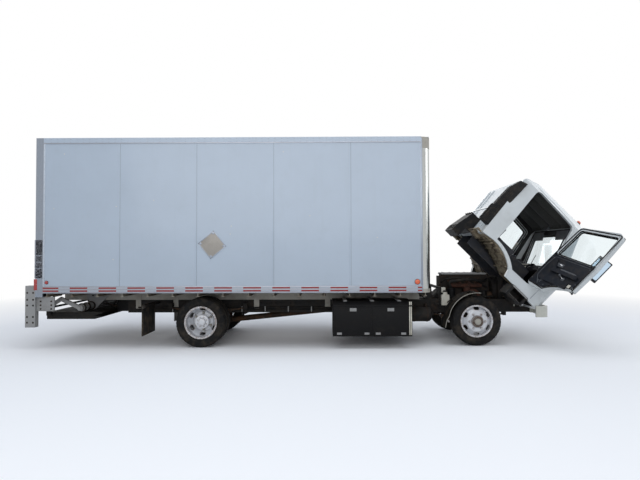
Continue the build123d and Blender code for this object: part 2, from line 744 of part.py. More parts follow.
# Liftgate frame: cross tube on hangers, step posts and the extension sill behind the body
with BuildPart() as liftgate_frame:
    with BuildSketch(side_plane(lift_arm_y - 40)):
        with Locations((lift_pivot_x, lift_pivot_z)):
            Circle(lift_tube_radius)
    extrude(amount=2 * (lift_arm_y - 40))
    with BuildSketch(side_plane(lift_arm_y + 60)):
        with Locations((lift_pivot_x, lift_pivot_z)):
            Circle(30)
    extrude(amount=2 * (lift_arm_y + 60))
    for side in (-1, 1):
        with BuildSketch(side_plane(side * 445 + 12)):
            Polygon((lift_pivot_x - 90, sill_top_z), (lift_pivot_x + 330, sill_top_z),
                    (lift_pivot_x + 60, 560), (lift_pivot_x - 60, 560), align=None)
        extrude(amount=24)
        post_inner_y = side * (box_half_width - step_post_width)
        block((box_rear_x - dock_depth, box_rear_x), sorted((post_inner_y, side * box_half_width)),
              (step_post_bottom_z, step_post_top_z))
        block((box_rear_x - 20, box_rear_x + 280),
              sorted((post_inner_y + side * 30, post_inner_y + side * 50)),
              (608, sill_top_z))
    block((box_rear_x - dock_depth, box_rear_x), (-box_half_width, box_half_width),
          (dock_bottom_z, dock_top_z))
liftgate_frame.part.label = "liftgate_frame"
export_step(liftgate_frame.part.moved(chassis_place), "parts/liftgate_frame.step")

# Lift arms, bent up between the cross tube and the platform hinge
with BuildPart() as lift_arms:
    for side in (-1, 1):
        with BuildSketch(side_plane(side * lift_arm_y + 25)):
            with BuildLine():
                Polyline((lift_pivot_x, lift_pivot_z), (lift_pivot_x - 320, lift_pivot_z + 150),
                         (lift_pivot_x - lift_arm_length, lift_pivot_z))
            trace(line_width=60)
            with Locations((lift_pivot_x, lift_pivot_z)):
                Circle(46)
                Circle(30 + running_fit, mode=Mode.SUBTRACT)
            with Locations((lift_pivot_x - lift_arm_length, lift_pivot_z)):
                Circle(40)
                Circle(18 + running_fit, mode=Mode.SUBTRACT)
        extrude(amount=50)
lift_arms.part.label = "lift_arms"
export_step(lift_arms.part.moved(chassis_place), "parts/lift_arms.step")

# Folded platform hung from the ends of the arms
platform_rear_x = lift_pivot_x - lift_arm_length - 40
with BuildPart() as lift_platform:
    for base_z in (platform_bottom_z, platform_bottom_z + 62):
        with BuildSketch(side_plane(platform_half_width)):
            Polygon((platform_rear_x, base_z), (platform_rear_x, base_z + 55),
                    (platform_rear_x + platform_length, base_z + 55),
                    (platform_rear_x + platform_length + 150, base_z + 40),
                    (platform_rear_x + platform_length, base_z), align=None)
        extrude(amount=2 * platform_half_width)
    block((platform_rear_x, platform_rear_x + 80), (-platform_half_width, platform_half_width),
          (platform_bottom_z, platform_bottom_z + 100))
    for side in (-1, 1):
        with BuildSketch(side_plane(side * 800 + 20)):
            with Locations((lift_pivot_x - lift_arm_length, lift_pivot_z)):
                Circle(40)
            Polygon((platform_rear_x, platform_bottom_z + 60), (platform_rear_x, lift_pivot_z),
                    (platform_rear_x + 80, lift_pivot_z),
                    (platform_rear_x + 80, platform_bottom_z + 60), align=None)
        extrude(amount=40)
    with BuildSketch(side_plane(lift_arm_y + 50)):
        with Locations((lift_pivot_x - lift_arm_length, lift_pivot_z)):
            Circle(18)
    extrude(amount=2 * (lift_arm_y + 50))
lift_platform.part.label = "lift_platform"
export_step(lift_platform.part.moved(chassis_place), "parts/lift_platform.step")


def cab_hull(inset):
    """Convex outside of the cab pulled in by inset, running down past its lower edges."""
    rake = (screen_top_x - nose_x, 0, roof_front_z - screen_base_z)
    rake_length = 1.2 * hypot(rake[0], rake[2])
    with BuildPart() as hull:
        for base_z, direction, length in (
            (500, (0, 0, 1), screen_base_z + 10 - 500),
            (screen_base_z + 10, rake, rake_length),
        ):
            with BuildSketch(Plane.XY.offset(base_z)):
                with Locations((nose_x + 12 - 1000, 0)):
                    outer = Rectangle(2000, 2 * (cab_half_width + 10))
                fillet(outer.vertices().group_by(Axis.X)[-1], 190)
                if inset:
                    offset(amount=-inset, mode=Mode.REPLACE)
            extrude(amount=length, dir=direction)
        with BuildSketch(Plane.XZ):
            Polygon(
                (rear_low_x + 42, 500), (rear_top_x, rear_top_z), (roof_rear_x, roof_rear_z),
                (screen_top_x, roof_front_z), (nose_x, screen_base_z), (nose_x + 6, 900),
                (nose_x - 35, 500),
                align=None,
            )
            corners = vertices().sort_by(Axis.Y)[-4:]
            fillet(corners, 95)
            if inset:
                offset(amount=-inset, mode=Mode.REPLACE)
        extrude(amount=2 * cab_half_width, both=True, mode=Mode.INTERSECT)
        with BuildSketch(Plane.YZ):
            Polygon(
                (-900, 500), (-cab_half_width, 840), (-cab_half_width, belt_z), (-918, 2075),
                (-830, 2192), (-500, 2230), (500, 2230), (830, 2192), (918, 2075),
                (cab_half_width, belt_z), (cab_half_width, 840), (900, 500),
                align=None,
            )
            if inset:
                offset(amount=-inset, mode=Mode.REPLACE)
        extrude(amount=2000, both=True, mode=Mode.INTERSECT)
    return hull.part


def door_outline(gap):
    """Doorway as seen from the side, pulled in by gap."""
    with BuildSketch() as doorway:
        with BuildLine():
            Line((655, 846), (655, belt_z))
            Line((655, belt_z), (524, 2043))
            Line((524, 2043), (-301, 2101))
            Line((-301, 2101), (-242, 1017))
            ThreePointArc((-242, 1017), (62, 962), (275, 834))
            Line((275, 834), (655, 846))
        make_face()
        fillet(vertices().sort_by(Axis.Y)[-2:], 80)
        fillet(vertices().group_by(Axis.X)[-1].sort_by(Axis.Y)[0], 90)
        if gap:
            offset(amount=-gap, mode=Mode.REPLACE)
    return doorway.sketch


def window_outline(gap):
    """Door window as seen from the side, pulled in by gap."""
    with BuildSketch() as window:
        Polygon((588, window_bottom_z), (482, 1990), (-240, 2040), (-212, window_bottom_z), align=None)
        fillet(vertices(), 45)
        if gap:
            offset(amount=-gap, mode=Mode.REPLACE)
    return window.sketch


cab_outer = cab_hull(0)
cab_inner = cab_hull(cab_wall)

# Whole hollow shell with its lower edges, doorways and windscreen opening cut
screen_plane = Plane(
    origin=(nose_x, 0, screen_base_z), x_dir=(0, 1, 0),
    z_dir=(roof_front_z - screen_base_z, 0, nose_x - screen_top_x),
)
screen_height = 820
screen_width = 1600
with BuildPart() as cab_shell:
    add(cab_outer)
    add(cab_inner, mode=Mode.SUBTRACT)
    with BuildSketch(Plane.XZ):
        with BuildLine():
            Line((-800, 893), (-262, 975))
            ThreePointArc((-262, 975), (35, 922), (236, 800))
            Line((236, 800), (285, sill_z))
            Line((285, sill_z), (800, sill_z))
            Line((800, sill_z), (830, nose_bottom_z))
            Line((830, nose_bottom_z), (1300, nose_bottom_z))
            Line((1300, nose_bottom_z), (1300, 300))
            Line((1300, 300), (-800, 300))
            Line((-800, 300), (-800, 893))
        make_face()
    extrude(amount=1100, both=True, mode=Mode.SUBTRACT)
    with BuildSketch(screen_plane):
        with Locations((0, 75 + screen_height / 2)):
            RectangleRounded(screen_width, screen_height, 70)
    extrude(amount=160, both=True, mode=Mode.SUBTRACT)

front_split = ((800, 300), (800, 1230), (590, 2043), (555, 2400), (1500, 2400), (1500, 300))

# Nose panel with the windscreen surround, the grille recess and the headlamp pockets
with BuildPart() as cab_front:
    add(cab_shell.part)
    with BuildSketch(Plane.XZ):
        Polygon(*front_split, align=None)
    extrude(amount=1100, both=True, mode=Mode.INTERSECT)
    block((grille_depth_x, 1200), (-grille_half_width, grille_half_width), (grille_bottom_z, grille_top_z),
          mode=Mode.SUBTRACT)
    for side in (-1, 1):
        block((lamp_depth_x, 1200), sorted((side * lamp_inner_y, side * lamp_outer_y)),
              (lamp_bottom_z, lamp_top_z),
              mode=Mode.SUBTRACT)
cab_front.part.label = "cab_front"
export_step(cab_front.part.moved(cab_place), "parts/cab_front.step")

# Grille: slotted panel flush with the nose
slot_pitch = (grille_top_z - grille_bottom_z) / grille_slot_count
with BuildPart() as grille:
    add(cab_outer)
    block((grille_depth_x + seat_gap, 1200), (seat_gap - grille_half_width, grille_half_width - seat_gap),
          (grille_bottom_z + seat_gap, grille_top_z - seat_gap), mode=Mode.INTERSECT)
    for side in (-1, 1):
        for row in range(grille_slot_count):
            slot_z = grille_bottom_z + (row + 0.5) * slot_pitch
            block((grille_depth_x + 8, 1200), sorted((side * 25, side * (grille_half_width - 30))),
                  (slot_z - 15, slot_z + 15), mode=Mode.SUBTRACT)
grille.part.label = "grille"
export_step(grille.part.moved(cab_place), "parts/grille.step")

# Headlamps: units that fill their pockets and follow the nose
with BuildPart() as headlamps:
    add(cab_outer)
    for side in (-1, 1):
        block((900, 1200), sorted((side * (lamp_outer_y - seat_gap), side * 1100)), (400, 2400),
              mode=Mode.SUBTRACT)
    block((900, 1200), (-lamp_inner_y - seat_gap, lamp_inner_y + seat_gap), (400, 2400), mode=Mode.SUBTRACT)
    block((lamp_depth_x + seat_gap, 1200), (-1100, 1100), (lamp_bottom_z + seat_gap, lamp_top_z - seat_gap),
          mode=Mode.INTERSECT)
headlamps.part.label = "headlamps"
export_step(headlamps.part.moved(cab_place), "parts/headlamps.step")

# Side frames round the two doorways
with BuildPart() as cab_sides:
    add(cab_shell.part)
    with BuildSketch(Plane.XZ):
        Polygon(*front_split, align=None)
    extrude(amount=1100, both=True, mode=Mode.SUBTRACT)
    block((-1000, 1200), (-cab_panel_y, cab_panel_y), (300, 2400), mode=Mode.SUBTRACT)
    with BuildSketch(Plane.XZ):
        add(door_outline(0))
    extrude(amount=1100, both=True, mode=Mode.SUBTRACT)
    for side in (-1, 1):
        for hinge_z in hinge_rows:
            block((hinge_x + 22, hinge_x + 70),
                  sorted((side * (cab_half_width - 10), side * (cab_half_width + 7))),
                  (hinge_z, hinge_z + hinge_height))
            for knuckle_z in (hinge_z, hinge_z + hinge_height - 28):
                block((hinge_x, hinge_x + 22), sorted((side * (cab_half_width + 1),
                                                       side * (cab_half_width + 7))),
                      (knuckle_z, knuckle_z + 28))
                with Locations((hinge_x, side * hinge_y, knuckle_z + 14)):
                    Cylinder(hinge_knuckle_radius, 28)
                    Cylinder(hinge_pin_radius + running_fit, 28, mode=Mode.SUBTRACT)
cab_sides.part.label = "cab_sides"
export_step(cab_sides.part.moved(cab_place), "parts/cab_sides.step")

# Roof and rear wall between the side frames
roof_split_z = 2060
with BuildPart() as cab_roof:
    add(cab_shell.part)
    with BuildSketch(Plane.XZ):
        Polygon(*front_split, align=None)
    extrude(amount=1100, both=True, mode=Mode.SUBTRACT)
    block((-1000, 1200), (-cab_panel_y, cab_panel_y), (roof_split_z, 2400), mode=Mode.INTERSECT)
cab_roof.part.label = "cab_roof"
export_step(cab_roof.part.moved(cab_place), "parts/cab_roof.step")

with BuildPart() as cab_rear_wall:
    add(cab_shell.part)
    block((-1000, 0), (-cab_panel_y, cab_panel_y), (800, roof_split_z), mode=Mode.INTERSECT)
cab_rear_wall.part.label = "cab_rear_wall"
export_step(cab_rear_wall.part.moved(cab_place), "parts/cab_rear_wall.step")

# Floor: footwells, wheel housings and the tilt shaft on its two arms
with BuildPart() as cab_floor:
    with BuildSketch(side_plane(cab_half_width)):
        with BuildLine():
            Line((1000, cab_floor_z), (300, cab_floor_z))
            ThreePointArc((300, cab_floor_z), (50, 892), (-262, rear_floor_z))
            Line((-262, rear_floor_z), (-600, rear_floor_z))
            Line((-600, rear_floor_z), (-600, rear_floor_z + cab_floor_thickness))
            Line((-600, rear_floor_z + cab_floor_thickness), (-262, rear_floor_z + cab_floor_thickness))
            ThreePointArc(
                (-262, rear_floor_z + cab_floor_thickness),
                (56, 892 + cab_floor_thickness),
                (306, cab_floor_z + cab_floor_thickness),
            )
            Line((306, cab_floor_z + cab_floor_thickness), (1000, cab_floor_z + cab_floor_thickness))
            Line((1000, cab_floor_z + cab_floor_thickness), (1000, cab_floor_z))
        make_face()
    extrude(amount=2 * cab_half_width)
    block((-600, tunnel_front_x + seat_gap),
          (-tunnel_half_width - seat_gap, tunnel_half_width + seat_gap), (300, tunnel_top_z),
          mode=Mode.SUBTRACT)
    with BuildSketch(side_plane(pivot_bracket_y + 60)):
        with Locations((pivot_x, pivot_z)):
            Circle(pivot_shaft_radius)
    extrude(amount=2 * (pivot_bracket_y + 60))
    for side in (-1, 1):
        with BuildSketch(side_plane(side * 320 + 20)):
            with Locations((pivot_x, pivot_z)):
                Circle(pivot_eye_radius)
            Polygon((pivot_x - 120, cab_floor_z + 2), (pivot_x + 30, cab_floor_z + 2),
                    (pivot_x + 38, pivot_z), (pivot_x - 40, pivot_z), align=None)
        extrude(amount=40)
    add(cab_inner, mode=Mode.INTERSECT)
cab_floor.part.label = "cab_floor"
export_step(cab_floor.part.moved(cab_place), "parts/cab_floor.step")

# Engine cover: moulded hump between the footwells, open below
with BuildPart() as engine_cover:
    block((-600, tunnel_front_x), (-tunnel_half_width, tunnel_half_width), (cab_floor_z, tunnel_top_z))
    long_edges = edges().filter_by(Axis.X).group_by(Axis.Z)[-1]
    front_edge = edges().filter_by(Axis.Y).group_by(Axis.Z)[-1][-1:]
    fillet(long_edges + front_edge, cover_corner_radius)
    block((-600, tunnel_front_x - cab_floor_thickness),
          (cab_floor_thickness - tunnel_half_width, tunnel_half_width - cab_floor_thickness),
          (cab_floor_z, tunnel_top_z - cab_floor_thickness), mode=Mode.SUBTRACT)
    add(cab_inner, mode=Mode.INTERSECT)
engine_cover.part.label = "engine_cover"
export_step(engine_cover.part.moved(cab_place), "parts/engine_cover.step")

# Windscreen, set in the middle of its surround
with BuildPart() as windscreen:
    with BuildSketch(screen_plane.offset(-24)):
        with Locations((0, 75 + screen_height / 2)):
            RectangleRounded(screen_width - 2 * seat_gap, screen_height - 2 * seat_gap, 70)
    extrude(amount=glass_thickness)
windscreen.part.label = "windscreen"
export_step(windscreen.part.moved(cab_place), "parts/windscreen.step")

# Dashboard across the footwell, with the sleeve that carries the steering column
wheel_y = 640
wheel_centre = (440, wheel_y, 1330)
column_tilt = 35
column_radius = 20
column_direction = (sin(radians(column_tilt)), 0, -cos(radians(column_tilt)))
wheel_plane = Plane(origin=wheel_centre, x_dir=(0, 1, 0), z_dir=column_direction)
with BuildPart() as dashboard:
    with BuildSketch(side_plane(cab_half_width)):
        Polygon((1000, 1200), (1000, 1320), (900, 1350), (700, 1330), (660, 1250), (701, 1196), align=None)
    extrude(amount=2 * cab_half_width)
    with BuildSketch(side_plane(wheel_y + 15)):
        Polygon((528, 1232), (700, 1290), (720, 1200), (580, 1158), align=None)
    extrude(amount=30)
    with BuildSketch(wheel_plane.offset(130)):
        Circle(36)
    extrude(amount=90)
    with BuildSketch(wheel_plane.offset(100)):
        Circle(column_radius + running_fit)
    extrude(amount=150, mode=Mode.SUBTRACT)
    add(cab_inner, mode=Mode.INTERSECT)
dashboard.part.label = "dashboard"
export_step(dashboard.part.moved(cab_place), "parts/dashboard.step")

# Seats: middle y, cushion width and cushion base z
side_seat_z = rear_floor_z + cab_floor_thickness + seat_gap
seat_rows = ((640, 500, side_seat_z), (-640, 500, side_seat_z), (0, 560, tunnel_top_z + seat_gap))
with BuildPart() as seats:
    for middle_y, width, base_z in seat_rows:
        cushion_top = base_z + (130 if middle_y else 60)
        block((-330, 170 if middle_y else 60), (middle_y - width / 2, middle_y + width / 2),
              (base_z, cushion_top))
        with BuildSketch(side_plane(middle_y + width / 2)):
            Polygon((-400, base_z), (-330, base_z), (-270, cushion_top), (-330, 1800), (-430, 1800),
                    align=None)
        extrude(amount=width)
seats.part.label = "seats"
export_step(seats.part.moved(cab_place), "parts/seats.step")

# Steering wheel on the left, with its column down to the dashboard
with BuildPart() as steering_wheel:
    with Locations(wheel_plane):
        Torus(205, 14)
        Cylinder(38, 60)
    for spoke in range(3):
        turn = radians(90 + 120 * spoke)
        spoke_x = wheel_plane.from_local_coords((cos(turn), sin(turn), 0)) - wheel_plane.origin
        with BuildSketch(Plane(origin=wheel_plane.origin, x_dir=wheel_plane.z_dir, z_dir=spoke_x)):
            Rectangle(12, 34)
        extrude(amount=200)
    with BuildSketch(wheel_plane):
        Circle(column_radius)
    extrude(amount=230)
steering_wheel.part.label = "steering_wheel"
export_step(steering_wheel.part.moved(cab_place), "parts/steering_wheel.step")

# Air intake duct that wraps the right rear corner, and the box over the engine's rear end
duct_outer_y = 985
duct_width = 140
duct_foot_x = -665
duct_rear_x = -685
duct_cap_x = -627
duct_front_x = -505
duct_seat_x = -480
duct_edge_radius = 14
duct_bottom_z = 1090
duct_top_z = 2015
duct_shoulder_z = 1782
louvre_count = 7
louvre_pitch = 42
louvre_height = 18
louvre_bottom_z = 1440
with BuildPart() as intake_duct:
    with BuildSketch(side_plane(-duct_outer_y + duct_width)):
        Polygon(
            (duct_foot_x, duct_bottom_z),
            (duct_rear_x, duct_shoulder_z),
            (duct_cap_x, duct_top_z - louvre_pitch),
            (duct_front_x, duct_top_z),
            (duct_seat_x, duct_bottom_z),
            align=None,
        )
    extrude(amount=duct_width)
    fillet(edges().group_by(Axis.Y)[0], radius=duct_edge_radius)
    add(cab_outer, mode=Mode.SUBTRACT)
    for row in range(louvre_count):
        slot_z = louvre_bottom_z + row * louvre_pitch
        block(
            (duct_rear_x - 10, duct_rear_x + 22),
            (-duct_outer_y + 22, -duct_outer_y + duct_width - 22),
            (slot_z, slot_z + louvre_height),
            mode=Mode.SUBTRACT,
        )
intake_duct.part.label = "intake_duct"
export_step(intake_duct.part.moved(cab_place), "parts/intake_duct.step")

with BuildPart() as rear_cover:
    with BuildSketch(side_plane(260)):
        Polygon((-400, 1263), (-700, 1230), (-762, 900), (-762, 773), (-400, 773), align=None)
    extrude(amount=520)
    add(cab_outer, mode=Mode.SUBTRACT)
    block((-600, -300), (-300, 300), (700, rear_low_z + 10), mode=Mode.SUBTRACT)
rear_cover.part.label = "rear_cover"
export_step(rear_cover.part.moved(cab_place), "parts/rear_cover.step")

# Steps under the sills
step_rear_x = 470
with BuildPart() as cab_steps:
    for side in (-1, 1):
        with BuildSketch(side_plane(side * 800 + 165)):
            Polygon((step_rear_x, sill_z), (step_rear_x, 500), (760, 500), (790, 530),
                    (790, sill_z), align=None)
        extrude(amount=330)
        block((step_rear_x + 40, 750), sorted((side * 760, side * 1000)), (540, 660), mode=Mode.SUBTRACT)
cab_steps.part.label = "cab_steps"
export_step(cab_steps.part.moved(cab_place), "parts/cab_steps.step")

# Doors: shell with its window cut, pane, and mirror swung back along the door
for side, name, place in ((-1, "right", door_right_place), (1, "left", cab_place)):
    side_span = sorted((side * 700, side * 1100))
    with BuildPart() as door:
        add(cab_outer)
        add(cab_inner, mode=Mode.SUBTRACT)
        with BuildSketch(side_plane(side_span[1])):
            add(door_outline(door_gap))
        extrude(amount=400, mode=Mode.INTERSECT)
        with BuildSketch(side_plane(side_span[1])):
            add(window_outline(0))
        extrude(amount=400, mode=Mode.SUBTRACT)
        for hinge_z in hinge_rows:
            block((hinge_x - 70, hinge_x - 22),
                  sorted((side * (cab_half_width - 10), side * (cab_half_width + 7))),
                  (hinge_z, hinge_z + hinge_height))
            block((hinge_x - 22, hinge_x), sorted((side * (cab_half_width + 1),
                                                   side * (cab_half_width + 7))),
                  (hinge_z + 28 + seat_gap, hinge_z + hinge_height - 28 - seat_gap))
            with Locations((hinge_x, side * hinge_y, hinge_z + hinge_height / 2)):
                Cylinder(hinge_knuckle_radius, hinge_height - 56 - 2 * seat_gap)
                Cylinder(hinge_pin_radius, hinge_height + 8)
    door.part.label = f"door_{name}"
    export_step(door.part.moved(place), f"parts/door_{name}.step")

    with BuildPart() as trim:
        add(cab_hull(cab_wall + seat_gap))
        add(cab_hull(cab_wall + trim_thickness), mode=Mode.SUBTRACT)
        with BuildSketch(side_plane(side_span[1])):
            add(door_outline(trim_margin))
            add(window_outline(-trim_margin / 2), mode=Mode.SUBTRACT)
        extrude(amount=400, mode=Mode.INTERSECT)
        with BuildSketch(side_plane(max(side * armrest_inner_y, side * armrest_outer_y))):
            Polygon((-170, 1170), (-170, 1235), (300, 1235), (420, 1400), (480, 1400), (370, 1170),
                    align=None)
            fillet(vertices(), 24)
        extrude(amount=armrest_outer_y - armrest_inner_y)
        block((-100, 470), sorted((side * (armrest_inner_y + 20), side * armrest_outer_y)), (985, 1090))
        block((-88, 458), sorted((side * (armrest_inner_y + 28), side * (armrest_outer_y - 10))),
              (997, 1100), mode=Mode.SUBTRACT)
    trim.part.label = f"door_trim_{name}"
    export_step(trim.part.moved(place), f"parts/door_trim_{name}.step")

    with BuildPart() as pane:
        add(cab_hull(26))
        add(cab_hull(26 + glass_thickness), mode=Mode.SUBTRACT)
        with BuildSketch(side_plane(side_span[1])):
            add(window_outline(seat_gap / 2))
        extrude(amount=400, mode=Mode.INTERSECT)
    pane.part.label = f"door_glass_{name}"
    export_step(pane.part.moved(place), f"parts/door_glass_{name}.step")

    with BuildPart() as mirror:
        base_y = side * cab_half_width
        for foot_z in (1150, 1285):
            block((525, 590), sorted((base_y, base_y + side * 30)), (foot_z - 30, foot_z + 30))
            with BuildSketch(Plane(origin=(560, base_y + side * 20, foot_z), z_dir=(-360, side * 330, 0))):
                Circle(13)
            extrude(amount=hypot(360, 330))
        with Locations((200, base_y + side * 350, 1505)):
            Cylinder(14, 750)
        with BuildSketch(Plane(origin=(190, base_y + side * 360, 1500), x_dir=(-390, side * 420, 0),
                               z_dir=(0, 0, 1))):
            RectangleRounded(220, 80, 25)
        extrude(amount=380)
    mirror.part.label = f"mirror_{name}"
    export_step(mirror.part.moved(place), f"parts/mirror_{name}.step")
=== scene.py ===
import json
from math import atan2, cos, hypot, pi, radians, sin

import bmesh
import bpy
from mathutils import Matrix, Vector, kdtree


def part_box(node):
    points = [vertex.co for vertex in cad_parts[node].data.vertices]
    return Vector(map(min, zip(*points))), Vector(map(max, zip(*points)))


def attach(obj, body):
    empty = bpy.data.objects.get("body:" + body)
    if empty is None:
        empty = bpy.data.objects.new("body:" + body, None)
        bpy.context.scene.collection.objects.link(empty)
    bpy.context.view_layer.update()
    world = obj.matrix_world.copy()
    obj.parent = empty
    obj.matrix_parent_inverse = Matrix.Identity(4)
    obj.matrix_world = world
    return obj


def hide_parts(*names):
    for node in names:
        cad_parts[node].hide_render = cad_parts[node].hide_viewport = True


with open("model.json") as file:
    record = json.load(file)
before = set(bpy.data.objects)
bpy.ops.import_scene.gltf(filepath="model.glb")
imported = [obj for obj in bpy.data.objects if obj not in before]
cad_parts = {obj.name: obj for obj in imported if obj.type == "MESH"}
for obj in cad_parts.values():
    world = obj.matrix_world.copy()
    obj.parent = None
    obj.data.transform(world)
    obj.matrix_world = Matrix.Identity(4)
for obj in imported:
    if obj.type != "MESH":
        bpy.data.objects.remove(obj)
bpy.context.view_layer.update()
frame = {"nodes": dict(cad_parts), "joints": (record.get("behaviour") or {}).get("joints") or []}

# Places
# Lengths are in millimetres in the truck's own axes: X forward from the front axle, Y left from
# the centreline, Z up from the ground, with the cab lowered and both doors shut.
MM = 0.001
SIDES = (-1, 1)
SIDE_NAMES = {-1: "right", 1: "left"}
AHEAD, BACK = (1, 0, 0), (-1, 0, 0)
LEFT, RIGHT = (0, 1, 0), (0, -1, 0)
UP, DOWN = (0, 0, 1), (0, 0, -1)


def middle(node):
    """Centre of a solid in the frame, in metres."""
    low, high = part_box(node)
    return (low + high) / 2


TRUCK = Matrix.Translation((middle("front_tyre_left").x, middle("cargo_floor").y, 0)) @ Matrix.Scale(MM, 4)
JOINTS = {joint["name"]: joint for joint in frame["joints"]}


def turn_about(joint_name, degrees):
    """Turn about a joint's axis, in the frame."""
    joint = JOINTS[joint_name]
    pivot = Vector(joint["pos_m"])
    turn = Matrix.Rotation(radians(degrees), 4, Vector(joint["axis"]))
    return Matrix.Translation(pivot) @ turn @ Matrix.Translation(-pivot)


CAB_TILT = 45
DOOR_ANGLE = 110
CAB = turn_about("cab_tilt", CAB_TILT) @ TRUCK
PLACES = {
    "cab": CAB,
    "door_left": CAB,
    "door_right": turn_about("door_right_swing", DOOR_ANGLE) @ CAB,
}


def place_of(body):
    """Matrix from the truck's own millimetres to where a body rests in the frame."""
    return PLACES.get(body, TRUCK)


# Node materials
def feed(tree, node, inputs):
    """Gives each input of a node a plain value or the socket that feeds it."""
    for name, value in inputs.items():
        socket = node.inputs[name]
        if isinstance(value, bpy.types.NodeSocket):
            tree.links.new(value, socket)
        else:
            socket.default_value = (*value[:3], 1) if socket.type == "RGBA" else value


def make_node(tree, kind, inputs=None, **settings):
    """New shader node with its settings and inputs."""
    node = tree.nodes.new("ShaderNode" + kind)
    for name, value in settings.items():
        setattr(node, name, value)
    feed(tree, node, inputs or {})
    return node


def new_material(name):
    """New material, with its node tree and main shader."""
    material = bpy.data.materials.new(name)
    material.use_nodes = True
    tree = material.node_tree
    return material, tree, tree.nodes["Principled BSDF"]


def coordinates(tree, stretch=(1, 1, 1)):
    """Object coordinates in metres, stretched along each axis."""
    source = make_node(tree, "TexCoord")
    return make_node(tree, "Mapping", {"Scale": stretch, "Vector": source.outputs["Object"]}).outputs["Vector"]


def axis_value(tree, axis):
    """Place along one of the frame's axes, in metres."""
    source = make_node(tree, "TexCoord")
    return make_node(tree, "SeparateXYZ", {"Vector": source.outputs["Object"]}).outputs[axis]


def noise(tree, vector, scale, detail=4.0, roughness=0.55):
    """Smooth noise from 0 to 1."""
    inputs = {"Scale": scale, "Detail": detail, "Roughness": roughness, "Vector": vector}
    return make_node(tree, "TexNoise", inputs).outputs["Fac"]


def ramp(tree, fac, low, high, low_value=0.0, high_value=1.0):
    """Value that runs from low_value at fac low to high_value at fac high."""
    inputs = {"From Min": low, "From Max": high, "To Min": low_value, "To Max": high_value, "Value": fac}
    return make_node(tree, "MapRange", inputs).outputs["Result"]


def patches(tree, vector, scale, low, high, detail=4.0, roughness=0.55, low_value=0.0, high_value=1.0):
    """Noise that runs from low_value to high_value between its own values low and high."""
    return ramp(tree, noise(tree, vector, scale, detail, roughness), low, high, low_value, high_value)


def mix(tree, fac, first, second):
    """Mix of two colours; each is a colour or a socket."""
    return make_node(tree, "Mix", {"Factor": fac, 6: first, 7: second}, data_type="RGBA").outputs[2]


def multiply(tree, first, second):
    """Product of two values."""
    return make_node(tree, "Math", {0: first, 1: second}, operation="MULTIPLY").outputs["Value"]


def greater(tree, first, second):
    """Larger of two values."""
    return make_node(tree, "Math", {0: first, 1: second}, operation="MAXIMUM").outputs["Value"]


def bump(tree, shader, height, distance, strength=0.6):
    """Gives a shader relief from a height, over a distance in metres."""
    node = make_node(tree, "Bump", {"Distance": distance, "Strength": strength, "Height": height})
    feed(tree, shader, {"Normal": node.outputs["Normal"]})


def edge_wear(tree, low=0.52, high=0.60):
    """Value near 1 on sharp outer edges."""
    return ramp(tree, make_node(tree, "NewGeometry").outputs["Pointiness"], low, high)


def srgb(red, green, blue):
    """Colour written as 0 to 255 screen values, as the shader's linear values."""
    shares = (value / 255 for value in (red, green, blue))
    return tuple(share / 12.92 if share <= 0.04045 else ((share + 0.055) / 1.055) ** 2.4 for share in shares)


def darker(colour, share):
    """Colour with each channel at a share of itself."""
    return tuple(channel * share for channel in colour)


DUST = srgb(138, 122, 101)
SOOT = srgb(24, 23, 22)


def painted(name, colour, roughness=0.35, dirt=0.25, dirt_colour=DUST, dirt_height=None, coat=0.3,
            metallic=0.0, grain=0.0004, worn=None, streak=0.0, specular=0.5, mottle=0.86):
    """Paint with faint mottling, dirt in patches and towards the ground, worn edges and run streaks."""
    material, tree, shader = new_material(name)
    vector = coordinates(tree)
    colour_out = mix(tree, patches(tree, vector, 1.7, 0.35, 0.7), colour, darker(colour, mottle))
    grime = greater(tree, multiply(tree, patches(tree, vector, 5.0, 0.52, 0.78, 8, 0.65), dirt),
                    multiply(tree, patches(tree, vector, 60.0, 0.6, 0.75, 5, 0.7), dirt * 0.8))
    if dirt_height:
        low, high, most = dirt_height
        band = ramp(tree, axis_value(tree, "Z"), low, high, most, 0.0)
        splashes = patches(tree, vector, 9.0, 0.25, 0.7, 6, 0.6, 0.3, 1.0)
        grime = greater(tree, grime, multiply(tree, band, splashes))
    if streak:
        runs = patches(tree, coordinates(tree, (14, 14, 0.6)), 1.0, 0.55, 0.75, 5, 0.6)
        grime = greater(tree, grime, multiply(tree, runs, streak))
    colour_out = mix(tree, grime, colour_out, dirt_colour)
    if worn:
        chips = multiply(tree, edge_wear(tree), patches(tree, vector, 40.0, 0.35, 0.6, 6))
        colour_out = mix(tree, chips, colour_out, worn)
    feed(tree, shader, {"Base Color": colour_out, "Metallic": metallic, "Specular IOR Level": specular,
                        "Coat Weight": coat, "Coat Roughness": 0.12,
                        "Roughness": ramp(tree, grime, 0.0, 0.6, roughness, min(1.0, roughness + 0.45))})
    if grain:
        bump(tree, shader, noise(tree, vector, 140.0, 4), grain)
    return material


def brushed(name, colour, roughness=0.32, stretch=(1, 1, 60), dirt=0.2, dirt_colour=DUST, scale=12.0):
    """Bare metal with lines drawn along one axis."""
    material, tree, shader = new_material(name)
    lines = noise(tree, coordinates(tree, stretch), scale, 6, 0.7)
    colour_out = mix(tree, ramp(tree, lines, 0.3, 0.7), colour, darker(colour, 0.72))
    grime = multiply(tree, patches(tree, coordinates(tree), 6.0, 0.5, 0.75, 8, 0.65), dirt)
    feed(tree, shader, {"Base Color": mix(tree, grime, colour_out, dirt_colour), "Metallic": 1.0,
                        "Roughness": ramp(tree, lines, 0.3, 0.7, roughness * 0.8, roughness * 1.3)})
    bump(tree, shader, lines, 0.0002, 0.4)
    return material


